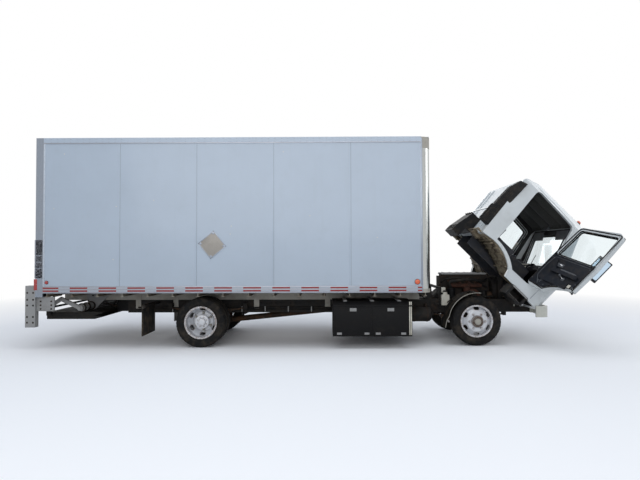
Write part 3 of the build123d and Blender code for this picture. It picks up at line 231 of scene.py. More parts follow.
def grimy(name, colour, second, roughness=0.8, metallic=0.0, scale=7.0, rough_bump=0.002):
    """Dirty casting or pressing with caked dust in patches."""
    material, tree, shader = new_material(name)
    vector = coordinates(tree)
    coarse = patches(tree, vector, scale, 0.42, 0.66, 8, 0.65)
    fine = patches(tree, vector, scale * 9, 0.5, 0.72, 6, 0.7, 0.0, 0.6)
    feed(tree, shader, {"Base Color": mix(tree, greater(tree, coarse, fine), colour, second),
                        "Metallic": metallic, "Specular IOR Level": 0.2,
                        "Roughness": ramp(tree, coarse, 0.0, 1.0, roughness * 0.75, roughness)})
    bump(tree, shader, noise(tree, vector, 90.0, 6, 0.65), rough_bump)
    return material


def plastic(name, colour, roughness=0.55, grain=0.0005, dust=0.2, dust_colour=DUST, scale=420.0):
    """Moulded plastic or rubber with a fine leather-like grain and some dust."""
    material, tree, shader = new_material(name)
    vector = coordinates(tree)
    dusty = multiply(tree, patches(tree, vector, 8.0, 0.45, 0.75, 7, 0.65), dust)
    base = mix(tree, patches(tree, vector, 3.0, 0.35, 0.65), colour, darker(colour, 0.75))
    feed(tree, shader, {"Base Color": mix(tree, dusty, base, dust_colour), "Specular IOR Level": 0.22,
                        "Roughness": ramp(tree, dusty, 0.0, 0.5, roughness, 0.9)})
    cells = make_node(tree, "TexVoronoi", {"Scale": scale, "Vector": vector})
    bump(tree, shader, cells.outputs["Distance"], grain, 0.5)
    return material


def woven(name, colour, second, pitch=0.004):
    """Cloth with a plain weave."""
    material, tree, shader = new_material(name)
    vector = coordinates(tree)
    inputs = {"Scale": 0.314 / pitch, "Distortion": 0.6, "Vector": vector}
    waves = [make_node(tree, "TexWave", inputs, bands_direction=axis).outputs["Fac"] for axis in "XYZ"]
    weave = multiply(tree, multiply(tree, waves[0], waves[1]), waves[2])
    colour_out = mix(tree, ramp(tree, weave, 0.0, 0.5), second, colour)
    faded = multiply(tree, patches(tree, vector, 9.0, 0.35, 0.7, 6), 0.35)
    feed(tree, shader, {"Base Color": mix(tree, faded, colour_out, second), "Roughness": 0.9,
                        "Sheen Weight": 0.3})
    bump(tree, shader, weave, 0.0006, 0.7)
    return material


def glass(name, tint, roughness=0.02):
    """Clear pane, lightly dusted."""
    material, tree, shader = new_material(name)
    smears = patches(tree, coordinates(tree), 6.0, 0.4, 0.8, 8, 0.7, roughness, roughness + 0.12)
    feed(tree, shader, {"Base Color": tint, "Transmission Weight": 1.0, "IOR": 1.45, "Roughness": smears})
    return material


def lens(name, colour, glow=0.0, coat=1.0):
    """Moulded lamp lens with fine flutes."""
    material, tree, shader = new_material(name)
    flutes = make_node(tree, "TexWave", {"Scale": 60.0, "Vector": coordinates(tree)}).outputs["Fac"]
    feed(tree, shader, {"Base Color": mix(tree, flutes, colour, darker(colour, 0.55)), "Roughness": 0.12,
                        "Coat Weight": coat, "Emission Color": colour, "Emission Strength": glow})
    bump(tree, shader, flutes, 0.0015, 0.6)
    return material


# Mesh helpers; all lengths in millimetres until the piece is placed
def new_meshes(count):
    """Empty meshes to build pieces in."""
    return [bmesh.new() for _ in range(count)]


def new_object(name, data):
    """New object in the scene."""
    made = bpy.data.objects.new(name, data)
    bpy.context.scene.collection.objects.link(made)
    return made


def new_piece(name, bm, material, body="chassis", smooth=30):
    """Turns a mesh in the truck's millimetres into an object that rides on a body."""
    bm.transform(place_of(body))
    bmesh.ops.remove_doubles(bm, verts=bm.verts, dist=1e-7)
    bmesh.ops.recalc_face_normals(bm, faces=bm.faces)
    mesh = bpy.data.meshes.new(name)
    bm.to_mesh(mesh)
    bm.free()
    mesh.materials.append(material)
    if smooth:
        mesh.polygons.foreach_set("use_smooth", [True] * len(mesh.polygons))
        mesh.set_sharp_from_angle(angle=radians(smooth))
    piece = new_object(name, mesh)
    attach(piece, body)
    return piece


def spaced(start, step, count):
    """Numbers at even steps."""
    return [start + index * step for index in range(count)]


def around(count, shift=0.0):
    """Angles at even steps round a circle; shift is a share of one step."""
    return [2 * pi * (step + shift) / count for step in range(count)]


def on_side(side, points):
    """Points whose Y is measured outwards from the centreline, put on one side."""
    return [(x, side * y, z) for x, y, z in points]


def add_box(bm, low, high, bevel=0.0, matrix=None):
    """Box between two corners with small chamfers on all its edges."""
    low, high = Vector(low), Vector(high)
    centre, size = (low + high) / 2, high - low
    part = bmesh.new()
    bmesh.ops.create_cube(part, size=1.0)
    bmesh.ops.scale(part, vec=size, verts=part.verts)
    bmesh.ops.translate(part, vec=centre, verts=part.verts)
    if bevel:
        limit = min(bevel, 0.45 * min(size))
        bmesh.ops.bevel(part, geom=part.edges[:], offset=limit, segments=2, profile=0.7, affect="EDGES")
    join(bm, part, matrix)


def side_box(bm, xs, side, ys, zs, bevel=1.5):
    """Box whose Y values are measured outwards from the centreline on one side."""
    low_y, high_y = sorted((side * ys[0], side * ys[1]))
    add_box(bm, (xs[0], low_y, zs[0]), (xs[1], high_y, zs[1]), bevel)


def join(bm, part, matrix=None):
    """Adds one mesh to another and frees it."""
    if matrix:
        part.transform(matrix)
    scratch = bpy.data.meshes.new("scratch")
    part.to_mesh(scratch)
    part.free()
    bm.from_mesh(scratch)
    bpy.data.meshes.remove(scratch)


def bridge(bm, rings, closed=False):
    """Faces from each ring of points to the next; a ring may also be a single point."""
    for first, second in zip(rings, rings[1:] + rings[:1] if closed else rings[1:]):
        count = max(len(first), len(second))
        for step in range(count):
            follow = (step + 1) % count
            if len(first) == 1:
                bm.faces.new((first[0], second[step], second[follow]))
            elif len(second) == 1:
                bm.faces.new((first[step], first[follow], second[0]))
            else:
                bm.faces.new((first[step], first[follow], second[follow], second[step]))


def axis_matrix(origin, direction):
    """Matrix that puts a shape made along +Z at origin, pointing along direction."""
    turn = Vector(direction).normalized().to_track_quat("Z", "Y").to_matrix().to_4x4()
    return Matrix.Translation(Vector(origin)) @ turn


def add_lathe(bm, profile, origin, direction, segments=32, closed=False):
    """Turned shape: profile is (radius, distance along the axis) from one end to the other."""
    matrix = axis_matrix(origin, direction)
    rings = []
    for radius, along in profile:
        angles = around(segments) if radius > 1e-6 else (0.0,)
        rings.append([bm.verts.new(matrix @ Vector((radius * cos(angle), radius * sin(angle), along)))
                      for angle in angles])
    bridge(bm, rings, closed)


def add_rod(bm, start, end, radius, segments=16):
    """Round bar with chamfered ends."""
    start, end = Vector(start), Vector(end)
    length = (end - start).length
    edge = min(radius * 0.2, 3)
    profile = ((0, 0), (radius - edge, 0), (radius, edge), (radius, length - edge), (radius - edge, length),
               (0, length))
    add_lathe(bm, profile, start, end - start, segments)


def rounded_path(points, radius, steps=5):
    """Points of a polyline with its corners rounded by arcs of a given radius."""
    points = [Vector(point) for point in points]
    path = [points[0]]
    for before, corner, after in zip(points, points[1:], points[2:]):
        back, ahead = (before - corner), (after - corner)
        reach = min(radius, back.length * 0.45, ahead.length * 0.45)
        start, end = corner + back.normalized() * reach, corner + ahead.normalized() * reach
        for step in range(steps + 1):
            t = step / steps
            path.append((1 - t) ** 2 * start + 2 * t * (1 - t) * corner + t ** 2 * end)
    path.append(points[-1])
    return path


def add_pipe(bm, points, radius, segments=14, corner=60, caps=True):
    """Pipe or hose along a rounded polyline."""
    path = rounded_path(points, corner)
    rings = []
    across = None
    for index, point in enumerate(path):
        ahead = path[min(index + 1, len(path) - 1)] - path[max(index - 1, 0)]
        ahead.normalize()
        across = across or ahead.orthogonal().normalized()
        across = (across - ahead * across.dot(ahead)).normalized()
        other = ahead.cross(across)
        rings.append([bm.verts.new(point + radius * (across * cos(angle) + other * sin(angle)))
                      for angle in around(segments)])
    bridge(bm, rings)
    if caps:
        bm.faces.new(rings[0][::-1])
        bm.faces.new(rings[-1])


def add_plate(bm, outline, origin, x_axis, y_axis, thickness, bevel=0.0):
    """Flat plate: outline in its own plane, thickened both ways about the plane."""
    x_axis, y_axis = Vector(x_axis).normalized(), Vector(y_axis).normalized()
    normal = x_axis.cross(y_axis)
    part = bmesh.new()
    verts = [part.verts.new(Vector(origin) + x_axis * u + y_axis * v - normal * (thickness / 2))
             for u, v in outline]
    edges = [part.edges.new(pair) for pair in zip(verts, verts[1:] + verts[:1])]
    bmesh.ops.contextual_create(part, geom=edges)
    result = bmesh.ops.extrude_face_region(part, geom=part.faces[:])
    moved = [item for item in result["geom"] if isinstance(item, bmesh.types.BMVert)]
    bmesh.ops.translate(part, vec=normal * thickness, verts=moved)
    bmesh.ops.recalc_face_normals(part, faces=part.faces)
    if bevel:
        sharp = [edge for edge in part.edges if len(edge.link_faces) == 2 and edge.calc_face_angle() > 0.6]
        bmesh.ops.bevel(part, geom=sharp, offset=bevel, segments=1, affect="EDGES")
    join(bm, part)


def add_bolt(bm, origin, direction, size=10, height=None, washer=True):
    """Hexagon head, on a washer if it has one."""
    tall = height or size * 0.65
    base = 0
    if washer:
        base = size * 0.15
        add_lathe(bm, ((0, 0), (size * 1.15, 0), (size * 1.15, base), (0, base)), origin, direction, 16)
    add_lathe(bm, ((0, base), (size, base), (size, base + tall * 0.85), (size * 0.85, base + tall),
                   (0, base + tall)), origin, direction, 6)


def add_rivet(bm, origin, direction, radius=6, height=3):
    """Low domed head."""
    profile = ((radius, 0), (radius * 0.8, height * 0.6), (radius * 0.35, height), (0, height))
    add_lathe(bm, profile, origin, direction, 8)


# Finishes
# The box side's colour is its white paint darkened and tinted blue as it looks in shade: painted shade.
# bright_skin further down is a lighter copy of the same white paint.
BOX_WHITE_IN_SHADE = srgb(174, 187, 201)
CAB_WHITE = srgb(208, 213, 214)
box_skin = painted("box_skin", BOX_WHITE_IN_SHADE, roughness=0.34, dirt=0.10, dirt_colour=srgb(150, 152, 150),
                   dirt_height=(0.95, 1.5, 0.14), streak=0.07, grain=0.0003, mottle=0.96)
cab_paint = painted("cab_paint", CAB_WHITE, roughness=0.22, dirt=0.10, dirt_colour=srgb(120, 108, 92), coat=0.6,
                    grain=0.0)
wheel_paint = painted("wheel_paint", srgb(208, 210, 214), roughness=0.38, dirt=0.3,
                      dirt_colour=srgb(132, 122, 110), metallic=0.25, worn=srgb(120, 96, 76))
bumper_paint = painted("bumper_paint", srgb(204, 204, 194), roughness=0.25, dirt=0.25, coat=0.5)
grey_steel = painted("grey_steel", srgb(148, 148, 147), roughness=0.6, dirt=0.35, dirt_colour=srgb(96, 88, 78),
                     coat=0.0)
pale_steel = painted("pale_steel", srgb(168, 164, 154), roughness=0.5, dirt=0.5, dirt_colour=srgb(104, 90, 74),
                     coat=0.0)
frame_black = grimy("frame_black", srgb(20, 20, 21), srgb(48, 43, 38), roughness=0.8, rough_bump=0.001)
locker_black = painted("locker_black", srgb(10, 10, 12), roughness=0.55, dirt=0.22,
                       dirt_colour=srgb(60, 54, 48), coat=0.0, specular=0.15)
casting = grimy("casting", srgb(24, 22, 21), srgb(62, 50, 41), roughness=0.85)
rusty = grimy("rusty", srgb(70, 42, 32), srgb(42, 33, 29), roughness=0.9, scale=14)
hub_rust = grimy("hub_rust", srgb(112, 104, 98), srgb(84, 66, 56), roughness=0.85, scale=20)
floor_pan = grimy("floor_pan", srgb(146, 134, 112), srgb(58, 46, 36), roughness=0.85, scale=5, rough_bump=0.003)
alloy_vertical = brushed("alloy_vertical", srgb(142, 150, 162), roughness=0.3, stretch=(30, 30, 0.7))
alloy_long = brushed("alloy_long", srgb(158, 162, 172), roughness=0.38, stretch=(0.7, 30, 30))
alloy_corner = brushed("alloy_corner", srgb(190, 193, 192), roughness=0.2, stretch=(18, 18, 0.5), dirt=0.1)
tank_alloy = brushed("tank_alloy", srgb(150, 150, 150), roughness=0.35, stretch=(0.8, 25, 25), dirt=0.5)
spring_steel = grimy("spring_steel", srgb(52, 44, 38), srgb(90, 66, 48), roughness=0.8, metallic=0.3)
tread_rubber = plastic("tread_rubber", srgb(21, 21, 22), roughness=0.85, dust=0.3,
                       dust_colour=srgb(104, 93, 78), grain=0.0006, scale=160)
seal_rubber = plastic("seal_rubber", srgb(18, 18, 19), roughness=0.6, dust=0.15)
flap_rubber = plastic("flap_rubber", srgb(22, 22, 23), roughness=0.7, dust=0.4, scale=120)
dark_trim = plastic("dark_trim", srgb(22, 26, 34), roughness=0.6, dust=0.08)
duct_plastic = plastic("duct_plastic", srgb(17, 18, 20), roughness=0.6, dust=0.14, scale=200)
dash_plastic = plastic("dash_plastic", srgb(52, 54, 60), roughness=0.6, dust=0.15)
grey_trim = plastic("grey_trim", srgb(92, 94, 98), roughness=0.6, dust=0.12)
white_plastic = plastic("white_plastic", srgb(226, 222, 208), roughness=0.45, dust=0.3, scale=260)
headliner = woven("headliner", srgb(72, 70, 58), srgb(46, 45, 38))
seat_cloth = woven("seat_cloth", srgb(58, 60, 66), srgb(34, 35, 40))
seat_edge = woven("seat_edge", srgb(40, 42, 48), srgb(26, 27, 31))
pane = glass("pane", (0.86, 0.93, 0.95))
# The door mirrors' grey-blue tint is a painted reflection: it stands for the dark view the mirrors show.
mirror_reflection_tint = brushed("mirror_reflection_tint", srgb(128, 142, 154), roughness=0.04, dirt=0.05)
red_plastic = plastic("red_plastic", srgb(168, 44, 24), roughness=0.5, dust=0.2)
orange_lens = lens("orange_lens", srgb(222, 84, 20), 0.15)
red_lens = lens("red_lens", srgb(168, 12, 14), 0.12, coat=0.5)
clear_lens = lens("clear_lens", srgb(214, 218, 222))
# The red tape's faint glow is painted light: reflective tape gives no light of its own.
red_tape = lens("red_tape", srgb(150, 10, 18), 0.03, coat=0.1)
white_tape = lens("white_tape", srgb(186, 194, 204), coat=0.1)
chromed = brushed("chromed", srgb(214, 216, 220), roughness=0.08, dirt=0.15)


def plank_wood():
    """Hardwood planks across the width, oiled and scuffed, on dull steel bearers."""
    material, tree, shader = new_material("plank_wood")
    vector = coordinates(tree)
    rows = make_node(tree, "TexWave", {"Scale": 1.25, "Vector": vector}, wave_profile="SAW",
                     bands_direction="Y")
    fibres = noise(tree, coordinates(tree, (1.2, 40, 40)), 3.0, 8, 0.6)
    colour_out = mix(tree, ramp(tree, fibres, 0.3, 0.7), srgb(138, 104, 72), srgb(92, 66, 44))
    colour_out = mix(tree, ramp(tree, rows.outputs["Fac"], 0.0, 0.03, 1.0, 0.0), colour_out, SOOT)
    scuff = patches(tree, vector, 4.0, 0.5, 0.75, 8, 0.7, 0.0, 0.5)
    top = mix(tree, scuff, colour_out, srgb(96, 88, 78))
    bearer = mix(tree, patches(tree, vector, 8.0, 0.4, 0.7, 8, 0.7), srgb(148, 144, 132), srgb(98, 84, 68))
    is_deck = ramp(tree, axis_value(tree, "Z"), 0.9365, 0.9375)
    feed(tree, shader, {"Base Color": mix(tree, is_deck, bearer, top), "Roughness": 0.62})
    bump(tree, shader, fibres, 0.0006)
    return material


def cab_shell(name, axis, low, high, lining, coat=0.5, specular=0.5):
    """Cab paint outside, and a lining colour on faces that point along axis in the cab's own directions."""
    material, tree, shader = new_material(name)
    normal = make_node(tree, "TexCoord").outputs["Normal"]
    inward = (CAB.to_3x3() @ Vector(axis)).normalized()
    facing = make_node(tree, "VectorMath", {0: normal, 1: inward}, operation="DOT_PRODUCT").outputs["Value"]
    if axis[1]:
        facing = multiply(tree, facing, multiply(tree, axis_value(tree, "Y"), -1.0))
    inside = ramp(tree, facing, low, high)
    vector = coordinates(tree)
    dirt = multiply(tree, patches(tree, vector, 6.0, 0.5, 0.78, 8, 0.65), 0.12)
    outer = mix(tree, patches(tree, vector, 1.7, 0.35, 0.7), CAB_WHITE, darker(CAB_WHITE, 0.9))
    outer = mix(tree, dirt, outer, srgb(120, 108, 92))
    inner = mix(tree, patches(tree, vector, 9.0, 0.35, 0.7, 6), lining, darker(lining, 0.7))
    feed(tree, shader, {"Base Color": mix(tree, inside, outer, inner), "Specular IOR Level": specular,
                        "Roughness": ramp(tree, inside, 0.0, 1.0, 0.25, 0.85), "Coat Roughness": 0.12,
                        "Coat Weight": ramp(tree, inside, 0.0, 1.0, coat, 0.0)})
    return material


LINING = srgb(46, 46, 44)
wood_deck = plank_wood()
roof_shell = cab_shell("roof_shell", DOWN, 0.35, 0.5, LINING)
rear_shell = cab_shell("rear_shell", AHEAD, 0.5, 0.7, LINING, coat=0.0, specular=0.05)
front_shell = cab_shell("front_shell", BACK, 0.5, 0.7, LINING)
side_shell = cab_shell("side_shell", LEFT, 0.35, 0.6, LINING)
bright_skin = painted("bright_skin", srgb(196, 205, 215), roughness=0.3, dirt=0.12, grain=0.0002)
joint_line = painted("joint_line", srgb(132, 140, 151), roughness=0.6, dirt=0.2)
placard_grey = painted("placard_grey", srgb(142, 138, 132), roughness=0.4, dirt=0.35, streak=0.4, metallic=0.4,
                       dirt_colour=srgb(104, 98, 90))

NODE_FINISHES = {
    box_skin: ("side_walls", "box_roof", "roll_door"),
    alloy_vertical: ("rear_frame",),
    bright_skin: ("front_wall",),
    wood_deck: ("cargo_floor",),
    pale_steel: ("body_sills",),
    frame_black: ("ladder_frame", "lift_platform", "radiator"),
    casting: ("engine", "front_axle_beam", "rear_axle", "knuckle_left", "knuckle_right"),
    spring_steel: ("leaf_springs", "prop_shaft", "track_rod"),
    rusty: ("exhaust",),
    tank_alloy: ("fuel_tank",),
    locker_black: ("side_locker",),
    grey_steel: ("liftgate_frame", "lift_arms"),
    bumper_paint: ("front_bumper",),
    cab_paint: ("door_left", "door_right"),
    roof_shell: ("cab_roof",),
    rear_shell: ("cab_rear_wall",),
    front_shell: ("cab_front",),
    side_shell: ("cab_sides",),
    floor_pan: ("cab_floor",),
    pane: ("windscreen", "door_glass_left", "door_glass_right"),
    dash_plastic: ("dashboard", "steering_wheel", "engine_cover"),
    seal_rubber: ("grille",),
    clear_lens: ("headlamps",),
    seat_cloth: ("seats",),
    duct_plastic: ("intake_duct", "rear_cover", "cab_steps"),
    dark_trim: ("mirror_left", "mirror_right", "door_trim_left", "door_trim_right"),
    flap_rubber: ("mud_flaps",),
    tread_rubber: ("front_tyre_left", "front_tyre_right", "rear_tyres_left", "rear_tyres_right"),
    wheel_paint: ("front_rim_left", "front_rim_right", "rear_rims_left", "rear_rims_right"),
}
for finish, names in NODE_FINISHES.items():
    for node_name in names:
        mesh = frame["nodes"][node_name].data
        mesh.materials.clear()
        mesh.materials.append(finish)


# Cargo body
BOX_REAR = -7047
BOX_FRONT = -790
BOX_HALF = 1219
RAIL_FACE = 1224
BOX_BOTTOM = 890
BOX_TOP = 3350
POST_FRONT = BOX_REAR + 119
CORNER_START = BOX_FRONT - 150
LOWER_RAIL_TOP = BOX_BOTTOM + 110
UPPER_RAIL_FOOT = BOX_TOP - 80
SEAM_START = -5710
SEAM_PITCH = 1219.2
SEAM_COUNT = 4
TAPE_START = -5582
TAPE_PITCH = 457.2
TAPE_RED = 279.4
RIVET_PITCH = 101.6


def make_side_seams():
    """Cover strips where the side sheets meet, a dark joint line beside each, and the rear posts' edges."""
    strips, lines, edges = new_meshes(3)
    heights = (LOWER_RAIL_TOP, UPPER_RAIL_FOOT)
    for side in SIDES:
        for x in spaced(SEAM_START, SEAM_PITCH, SEAM_COUNT):
            side_box(strips, (x - 30, x - 2), side, (BOX_HALF, BOX_HALF + 2.2), heights, 1.0)
            side_box(lines, (x - 2, x + 3), side, (BOX_HALF, BOX_HALF + 1.2), heights, 0)
        side_box(edges, (POST_FRONT, POST_FRONT + 26), side, (BOX_HALF, BOX_HALF + 6), heights, 2.5)
    new_piece("side_seams", strips, box_skin)
    new_piece("post_edges", edges, bright_skin)
    new_piece("side_joints", lines, joint_line, smooth=0)


def make_rail_rivets():
    """Rivet rows along the rails and down the corner posts."""
    bm = bmesh.new()
    count = int((CORNER_START - POST_FRONT) / RIVET_PITCH) + 1
    for side in SIDES:
        out = (0, side, 0)
        for x in spaced(POST_FRONT + 20, RIVET_PITCH, count):
            for z in (BOX_BOTTOM + 12, LOWER_RAIL_TOP - 10, UPPER_RAIL_FOOT + 16, BOX_TOP - 18):
                add_rivet(bm, (x, side * (RAIL_FACE - 0.5), z), out, 5.5)
        for z in spaced(LOWER_RAIL_TOP + 30, RIVET_PITCH, 23):
            add_rivet(bm, (POST_FRONT + 13, side * (BOX_HALF + 5.5), z), out, 5)
            add_rivet(bm, (BOX_REAR + 18, side * (RAIL_FACE - 0.5), z), out, 5.5)
    new_piece("rail_rivets", bm, alloy_long)


def make_rail_lips():
    """Raised lips along the edges of both rails, and the raised face of the lower one."""
    bm = bmesh.new()
    length = (POST_FRONT, CORNER_START)
    for side in SIDES:
        for z, high, out in ((UPPER_RAIL_FOOT - 6, 12, 8), (UPPER_RAIL_FOOT + 34, 5, 2.5), (BOX_BOTTOM, 8, 3),
                             (LOWER_RAIL_TOP - 4, 7, 3)):
            side_box(bm, length, side, (BOX_HALF - 2, RAIL_FACE + out - 3), (z, z + high))
        side_box(bm, length, side, (RAIL_FACE - 1, RAIL_FACE + 1.5), (BOX_BOTTOM + 8, LOWER_RAIL_TOP - 4), 0.8)
    new_piece("rail_lips", bm, alloy_long)


def make_tape():
    """Two lines of red and white reflective tape along each lower rail."""
    red, white = new_meshes(2)
    first = -int((TAPE_START - POST_FRONT) // TAPE_PITCH) - 1
    last = int((CORNER_START - TAPE_START) // TAPE_PITCH) + 1
    for side in SIDES:
        for z in (BOX_BOTTOM + 24, BOX_BOTTOM + 70):
            for index in range(first, last):
                start = TAPE_START + index * TAPE_PITCH
                change = start + TAPE_RED
                for bm, low, high in ((red, start, change), (white, change, start + TAPE_PITCH)):
                    low, high = max(low, POST_FRONT + 2), min(high, CORNER_START - 2)
                    if high - low > 5:
                        side_box(bm, (low, high), side, (RAIL_FACE + 1, RAIL_FACE + 2.3), (z, z + 24), 0)
    new_piece("tape_red", red, red_tape, smooth=0)
    new_piece("tape_white", white, white_tape, smooth=0)


def corner_shell(bm, side, radius, z_low, z_high, steps=12, thickness=3):
    """Quarter-round shell over a front corner of the body."""
    rows = []
    for step in range(steps + 1):
        angle = pi / 2 * step / steps
        places = [(CORNER_START + sin(angle) * reach, side * (BOX_HALF - 150) + side * cos(angle) * reach)
                  for reach in (radius, radius - thickness)]
        (x, y), (inner_x, inner_y) = places
        corners = ((x, y, z_low), (x, y, z_high), (inner_x, inner_y, z_high), (inner_x, inner_y, z_low))
        rows.append([bm.verts.new(corner) for corner in corners])
    bridge(bm, rows)
    bm.faces.new(rows[0])
    bm.faces.new(rows[-1][::-1])


def make_front_corners():
    """Polished shells round the front corners, cast caps at their ends, and the strip beside each."""
    caps, strips, shells = new_meshes(3)
    for side in SIDES:
        corner_shell(shells, side, 152, BOX_BOTTOM + 56, BOX_TOP - 174, 16)
        corner_shell(caps, side, 154, BOX_TOP - 178, BOX_TOP)
        corner_shell(caps, side, 153, BOX_BOTTOM + 1, BOX_BOTTOM + 60)
        side_box(strips, (CORNER_START - 16, CORNER_START + 16), side, (BOX_HALF, BOX_HALF + 4),
                 (LOWER_RAIL_TOP - 100, UPPER_RAIL_FOOT + 60))
        for z in spaced(940, 110, 22):
            add_rivet(strips, (CORNER_START - 2, side * (BOX_HALF + 3.5), z), (0, side, 0), 5)
    new_piece("corner_caps", caps, pale_steel)
    new_piece("corner_strips", strips, alloy_vertical)
    new_piece("corner_shells", shells, alloy_corner)


def add_lamp(housing, cover, place, direction, radius, depth=26, squash=None):
    """Round lamp: a housing ring and a domed lens."""
    turn = axis_matrix(place, direction)
    if squash:
        turn = turn @ Matrix.Diagonal((*squash, 1, 1))
    ring, dome = new_meshes(2)
    for bm, profile in ((ring, ((0.2, 0), (1.1, 0), (1.14, 0.2), (1.1, 0.4), (0.98, 0.4))),
                        (dome, ((1, 0.3), (0.97, 0.62), (0.8, 0.86), (0.45, 0.97), (0, 1)))):
        add_lathe(bm, [(radius * across, depth * along) for across, along in profile], (0, 0, 0), UP, 28)
    join(housing, ring, turn)
    join(cover, dome, turn)


def make_marker_lamps():
    """Round side lamps, small clearance lamps at the head of the body and the tail lamps."""
    housing, amber, red = new_meshes(3)
    for side in SIDES:
        out = (0, side, 0)
        add_lamp(housing, amber, (-1014, side * (RAIL_FACE - 4), 1061), out, 40, 22)
        add_lamp(housing, red, (POST_FRONT + 60, side * (RAIL_FACE - 4), 1061), out, 26, 16)
        add_lamp(housing, amber, (BOX_FRONT + 1, side * 1010, BOX_TOP - 70), AHEAD, 26, 11, (1, 2))
        for z in (1085, 1200, 1315):
            add_lamp(housing, red, (BOX_REAR + 2, side * (RAIL_FACE - 52), z), BACK, 46, 24)
        side_box(red, (BOX_REAR - 22, BOX_REAR + 32), side, (RAIL_FACE - 26, RAIL_FACE + 2), (940, 1116), 7)
    for y in (-150, 0, 150):
        add_lamp(housing, amber, (BOX_FRONT + 1, y, BOX_TOP - 70), AHEAD, 20, 10, (1, 2))
        add_lamp(housing, red, (BOX_REAR + 2, y, BOX_TOP - 110), BACK, 20, 14, (1, 2))
    new_piece("lamp_housings", housing, seal_rubber)
    new_piece("amber_lamps", amber, orange_lens)
    new_piece("tail_lamps", red, red_lens)


def make_placard():
    """Blank placard holder: a tilted square plate in a folded rim, with four corner clips."""
    centre = Vector((-4247, -BOX_HALF, 1650))
    half, tilt = 160, radians(45 - 5.6)
    along = Vector((cos(tilt), 0, sin(tilt)))
    up = Vector((-sin(tilt), 0, cos(tilt)))
    matrix = Matrix((along, Vector(RIGHT), up)).transposed().to_4x4()
    matrix.translation = centre
    plate, rim = new_meshes(2)
    add_box(plate, (-half, 0, -half), (half, 2.5, half), 0.8, matrix)
    for index in range(9):
        x = -half + 24 + index * (2 * half - 48) / 8
        add_box(plate, (x - 5, 2.4, -half + 14), (x + 5, 4.6, half - 14), 1, matrix)
    for low, high in (((-half, 0, -half), (half, 9, -half + 12)), ((-half, 0, half - 12), (half, 9, half)),
                      ((-half, 0, -half), (-half + 12, 9, half)), ((half - 12, 0, -half), (half, 9, half))):
        add_box(rim, low, high, 2, matrix)
    for u in (-1, 1):
        for v in (-1, 1):
            x, z = u * (half - 30), v * (half - 30)
            add_box(rim, (x - 16, 2, z - 16), (x + 16, 11, z + 16), 3, matrix)
            add_rivet(rim, matrix @ Vector((x, 10.5, z)), RIGHT, 5)
    new_piece("placard_plate", plate, placard_grey)
    new_piece("placard_rim", rim, alloy_vertical)


def make_glint_domes():
    """Small white domes on the side sheets; their white is a painted highlight of dents that catch the light.
    """
    bm = bmesh.new()
    for x, z in ((-6762, 2230), (-5770, 2262), (-5174, 2358), (-5815, 1422), (-3960, 1820), (-3945, 1945),
                 (-2700, 2105), (-1640, 1760), (-6600, 3100), (-3120, 3120)):
        add_rivet(bm, (x, -BOX_HALF + 0.5, z), RIGHT, 9, 2.4)
        add_rivet(bm, (x + 70, BOX_HALF - 0.5, z), LEFT, 9, 2.4)
    new_piece("glint_domes", bm, white_plastic)


# Wheels
AXLE_Z = 400
REAR_AXLE = -4470
TRACK_HALF = 825
TWIN_OFFSET = 126
TREAD_RADIUS = 400
BEAD_RADIUS = 248.3
TREAD_PITCHES = 45
NUT_COUNT = 6


def tyre_profile():
    """Half section from the middle of the tread to the bead: (distance from the middle, radius, is tread)."""
    points = [(0, TREAD_RADIUS, True)]
    for groove in (22, 60):
        for step, depth in ((-5, 0), (-3.5, 11), (3.5, 11), (5, 0)):
            across = groove + step
            points.append((across, TREAD_RADIUS - 3 * (across / 86) ** 2 - depth, True))
    points += [(76, 397.6, True), (86.5, 396.5, True), (95, 391, True), (98.5, 384, True)]
    for radius, proud in ((378, 1.5), (374, 2.5), (370, 0), (352, 0), (330, 0), (310, 0), (304, 1.5),
                          (299, 1.5), (295, 0), (284, 0), (272, 0)):
        up = (radius - 268) / 118
        points.append((88 + 87.5 * up - 77 * up * up + proud, radius, False))
    points += [(87.7, 262, False), (84, BEAD_RADIUS, False)]
    return points


def add_tyre(bm, centre_x, centre_y):
    """Tyre about a wheel axle along Y, with grooved tread and notched shoulders."""
    half = tyre_profile()
    section = [(-across, radius, tread) for across, radius, tread in half[:0:-1]] + half
    pitch = 2 * pi / TREAD_PITCHES
    columns = []
    for index in range(TREAD_PITCHES):
        for share, cut in ((0.0, 0), (0.05, 1), (0.2, 1), (0.25, 0), (0.62, 0)):
            angle = (index + share) * pitch
            column = []
            for across, radius, tread in section:
                if cut and tread and abs(across) > 70:
                    radius -= 9
                column.append(bm.verts.new((centre_x + radius * cos(angle), centre_y + across,
                                            AXLE_Z + radius * sin(angle))))
            columns.append(column)
    count = len(section)
    for first, second in zip(columns, columns[1:] + columns[:1]):
        for step in range(count):
            follow = (step + 1) % count
            bm.faces.new((first[step], second[step], second[follow], first[follow]))


def make_tyres():
    """Treaded tyres that take the place of the plain ones."""
    for side, name in SIDE_NAMES.items():
        front, rear = new_meshes(2)
        add_tyre(front, 0, side * TRACK_HALF)
        for offset in (-TWIN_OFFSET, TWIN_OFFSET):
            add_tyre(rear, REAR_AXLE, side * TRACK_HALF + offset)
        piece = new_piece(f"treaded_front_tyre_{name}", front, tread_rubber, f"front_wheel_{name}")
        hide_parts(f"front_tyre_{name}")
        piece = new_piece(f"treaded_rear_tyres_{name}", rear, tread_rubber, f"rear_wheels_{name}")
        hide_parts(f"rear_tyres_{name}")


def wheel_places(base, side, radius, out, angles):
    """Places on a circle about a wheel's axle, out millimetres from base."""
    return [base + Vector((radius * cos(angle), side * out, radius * sin(angle))) for angle in angles]


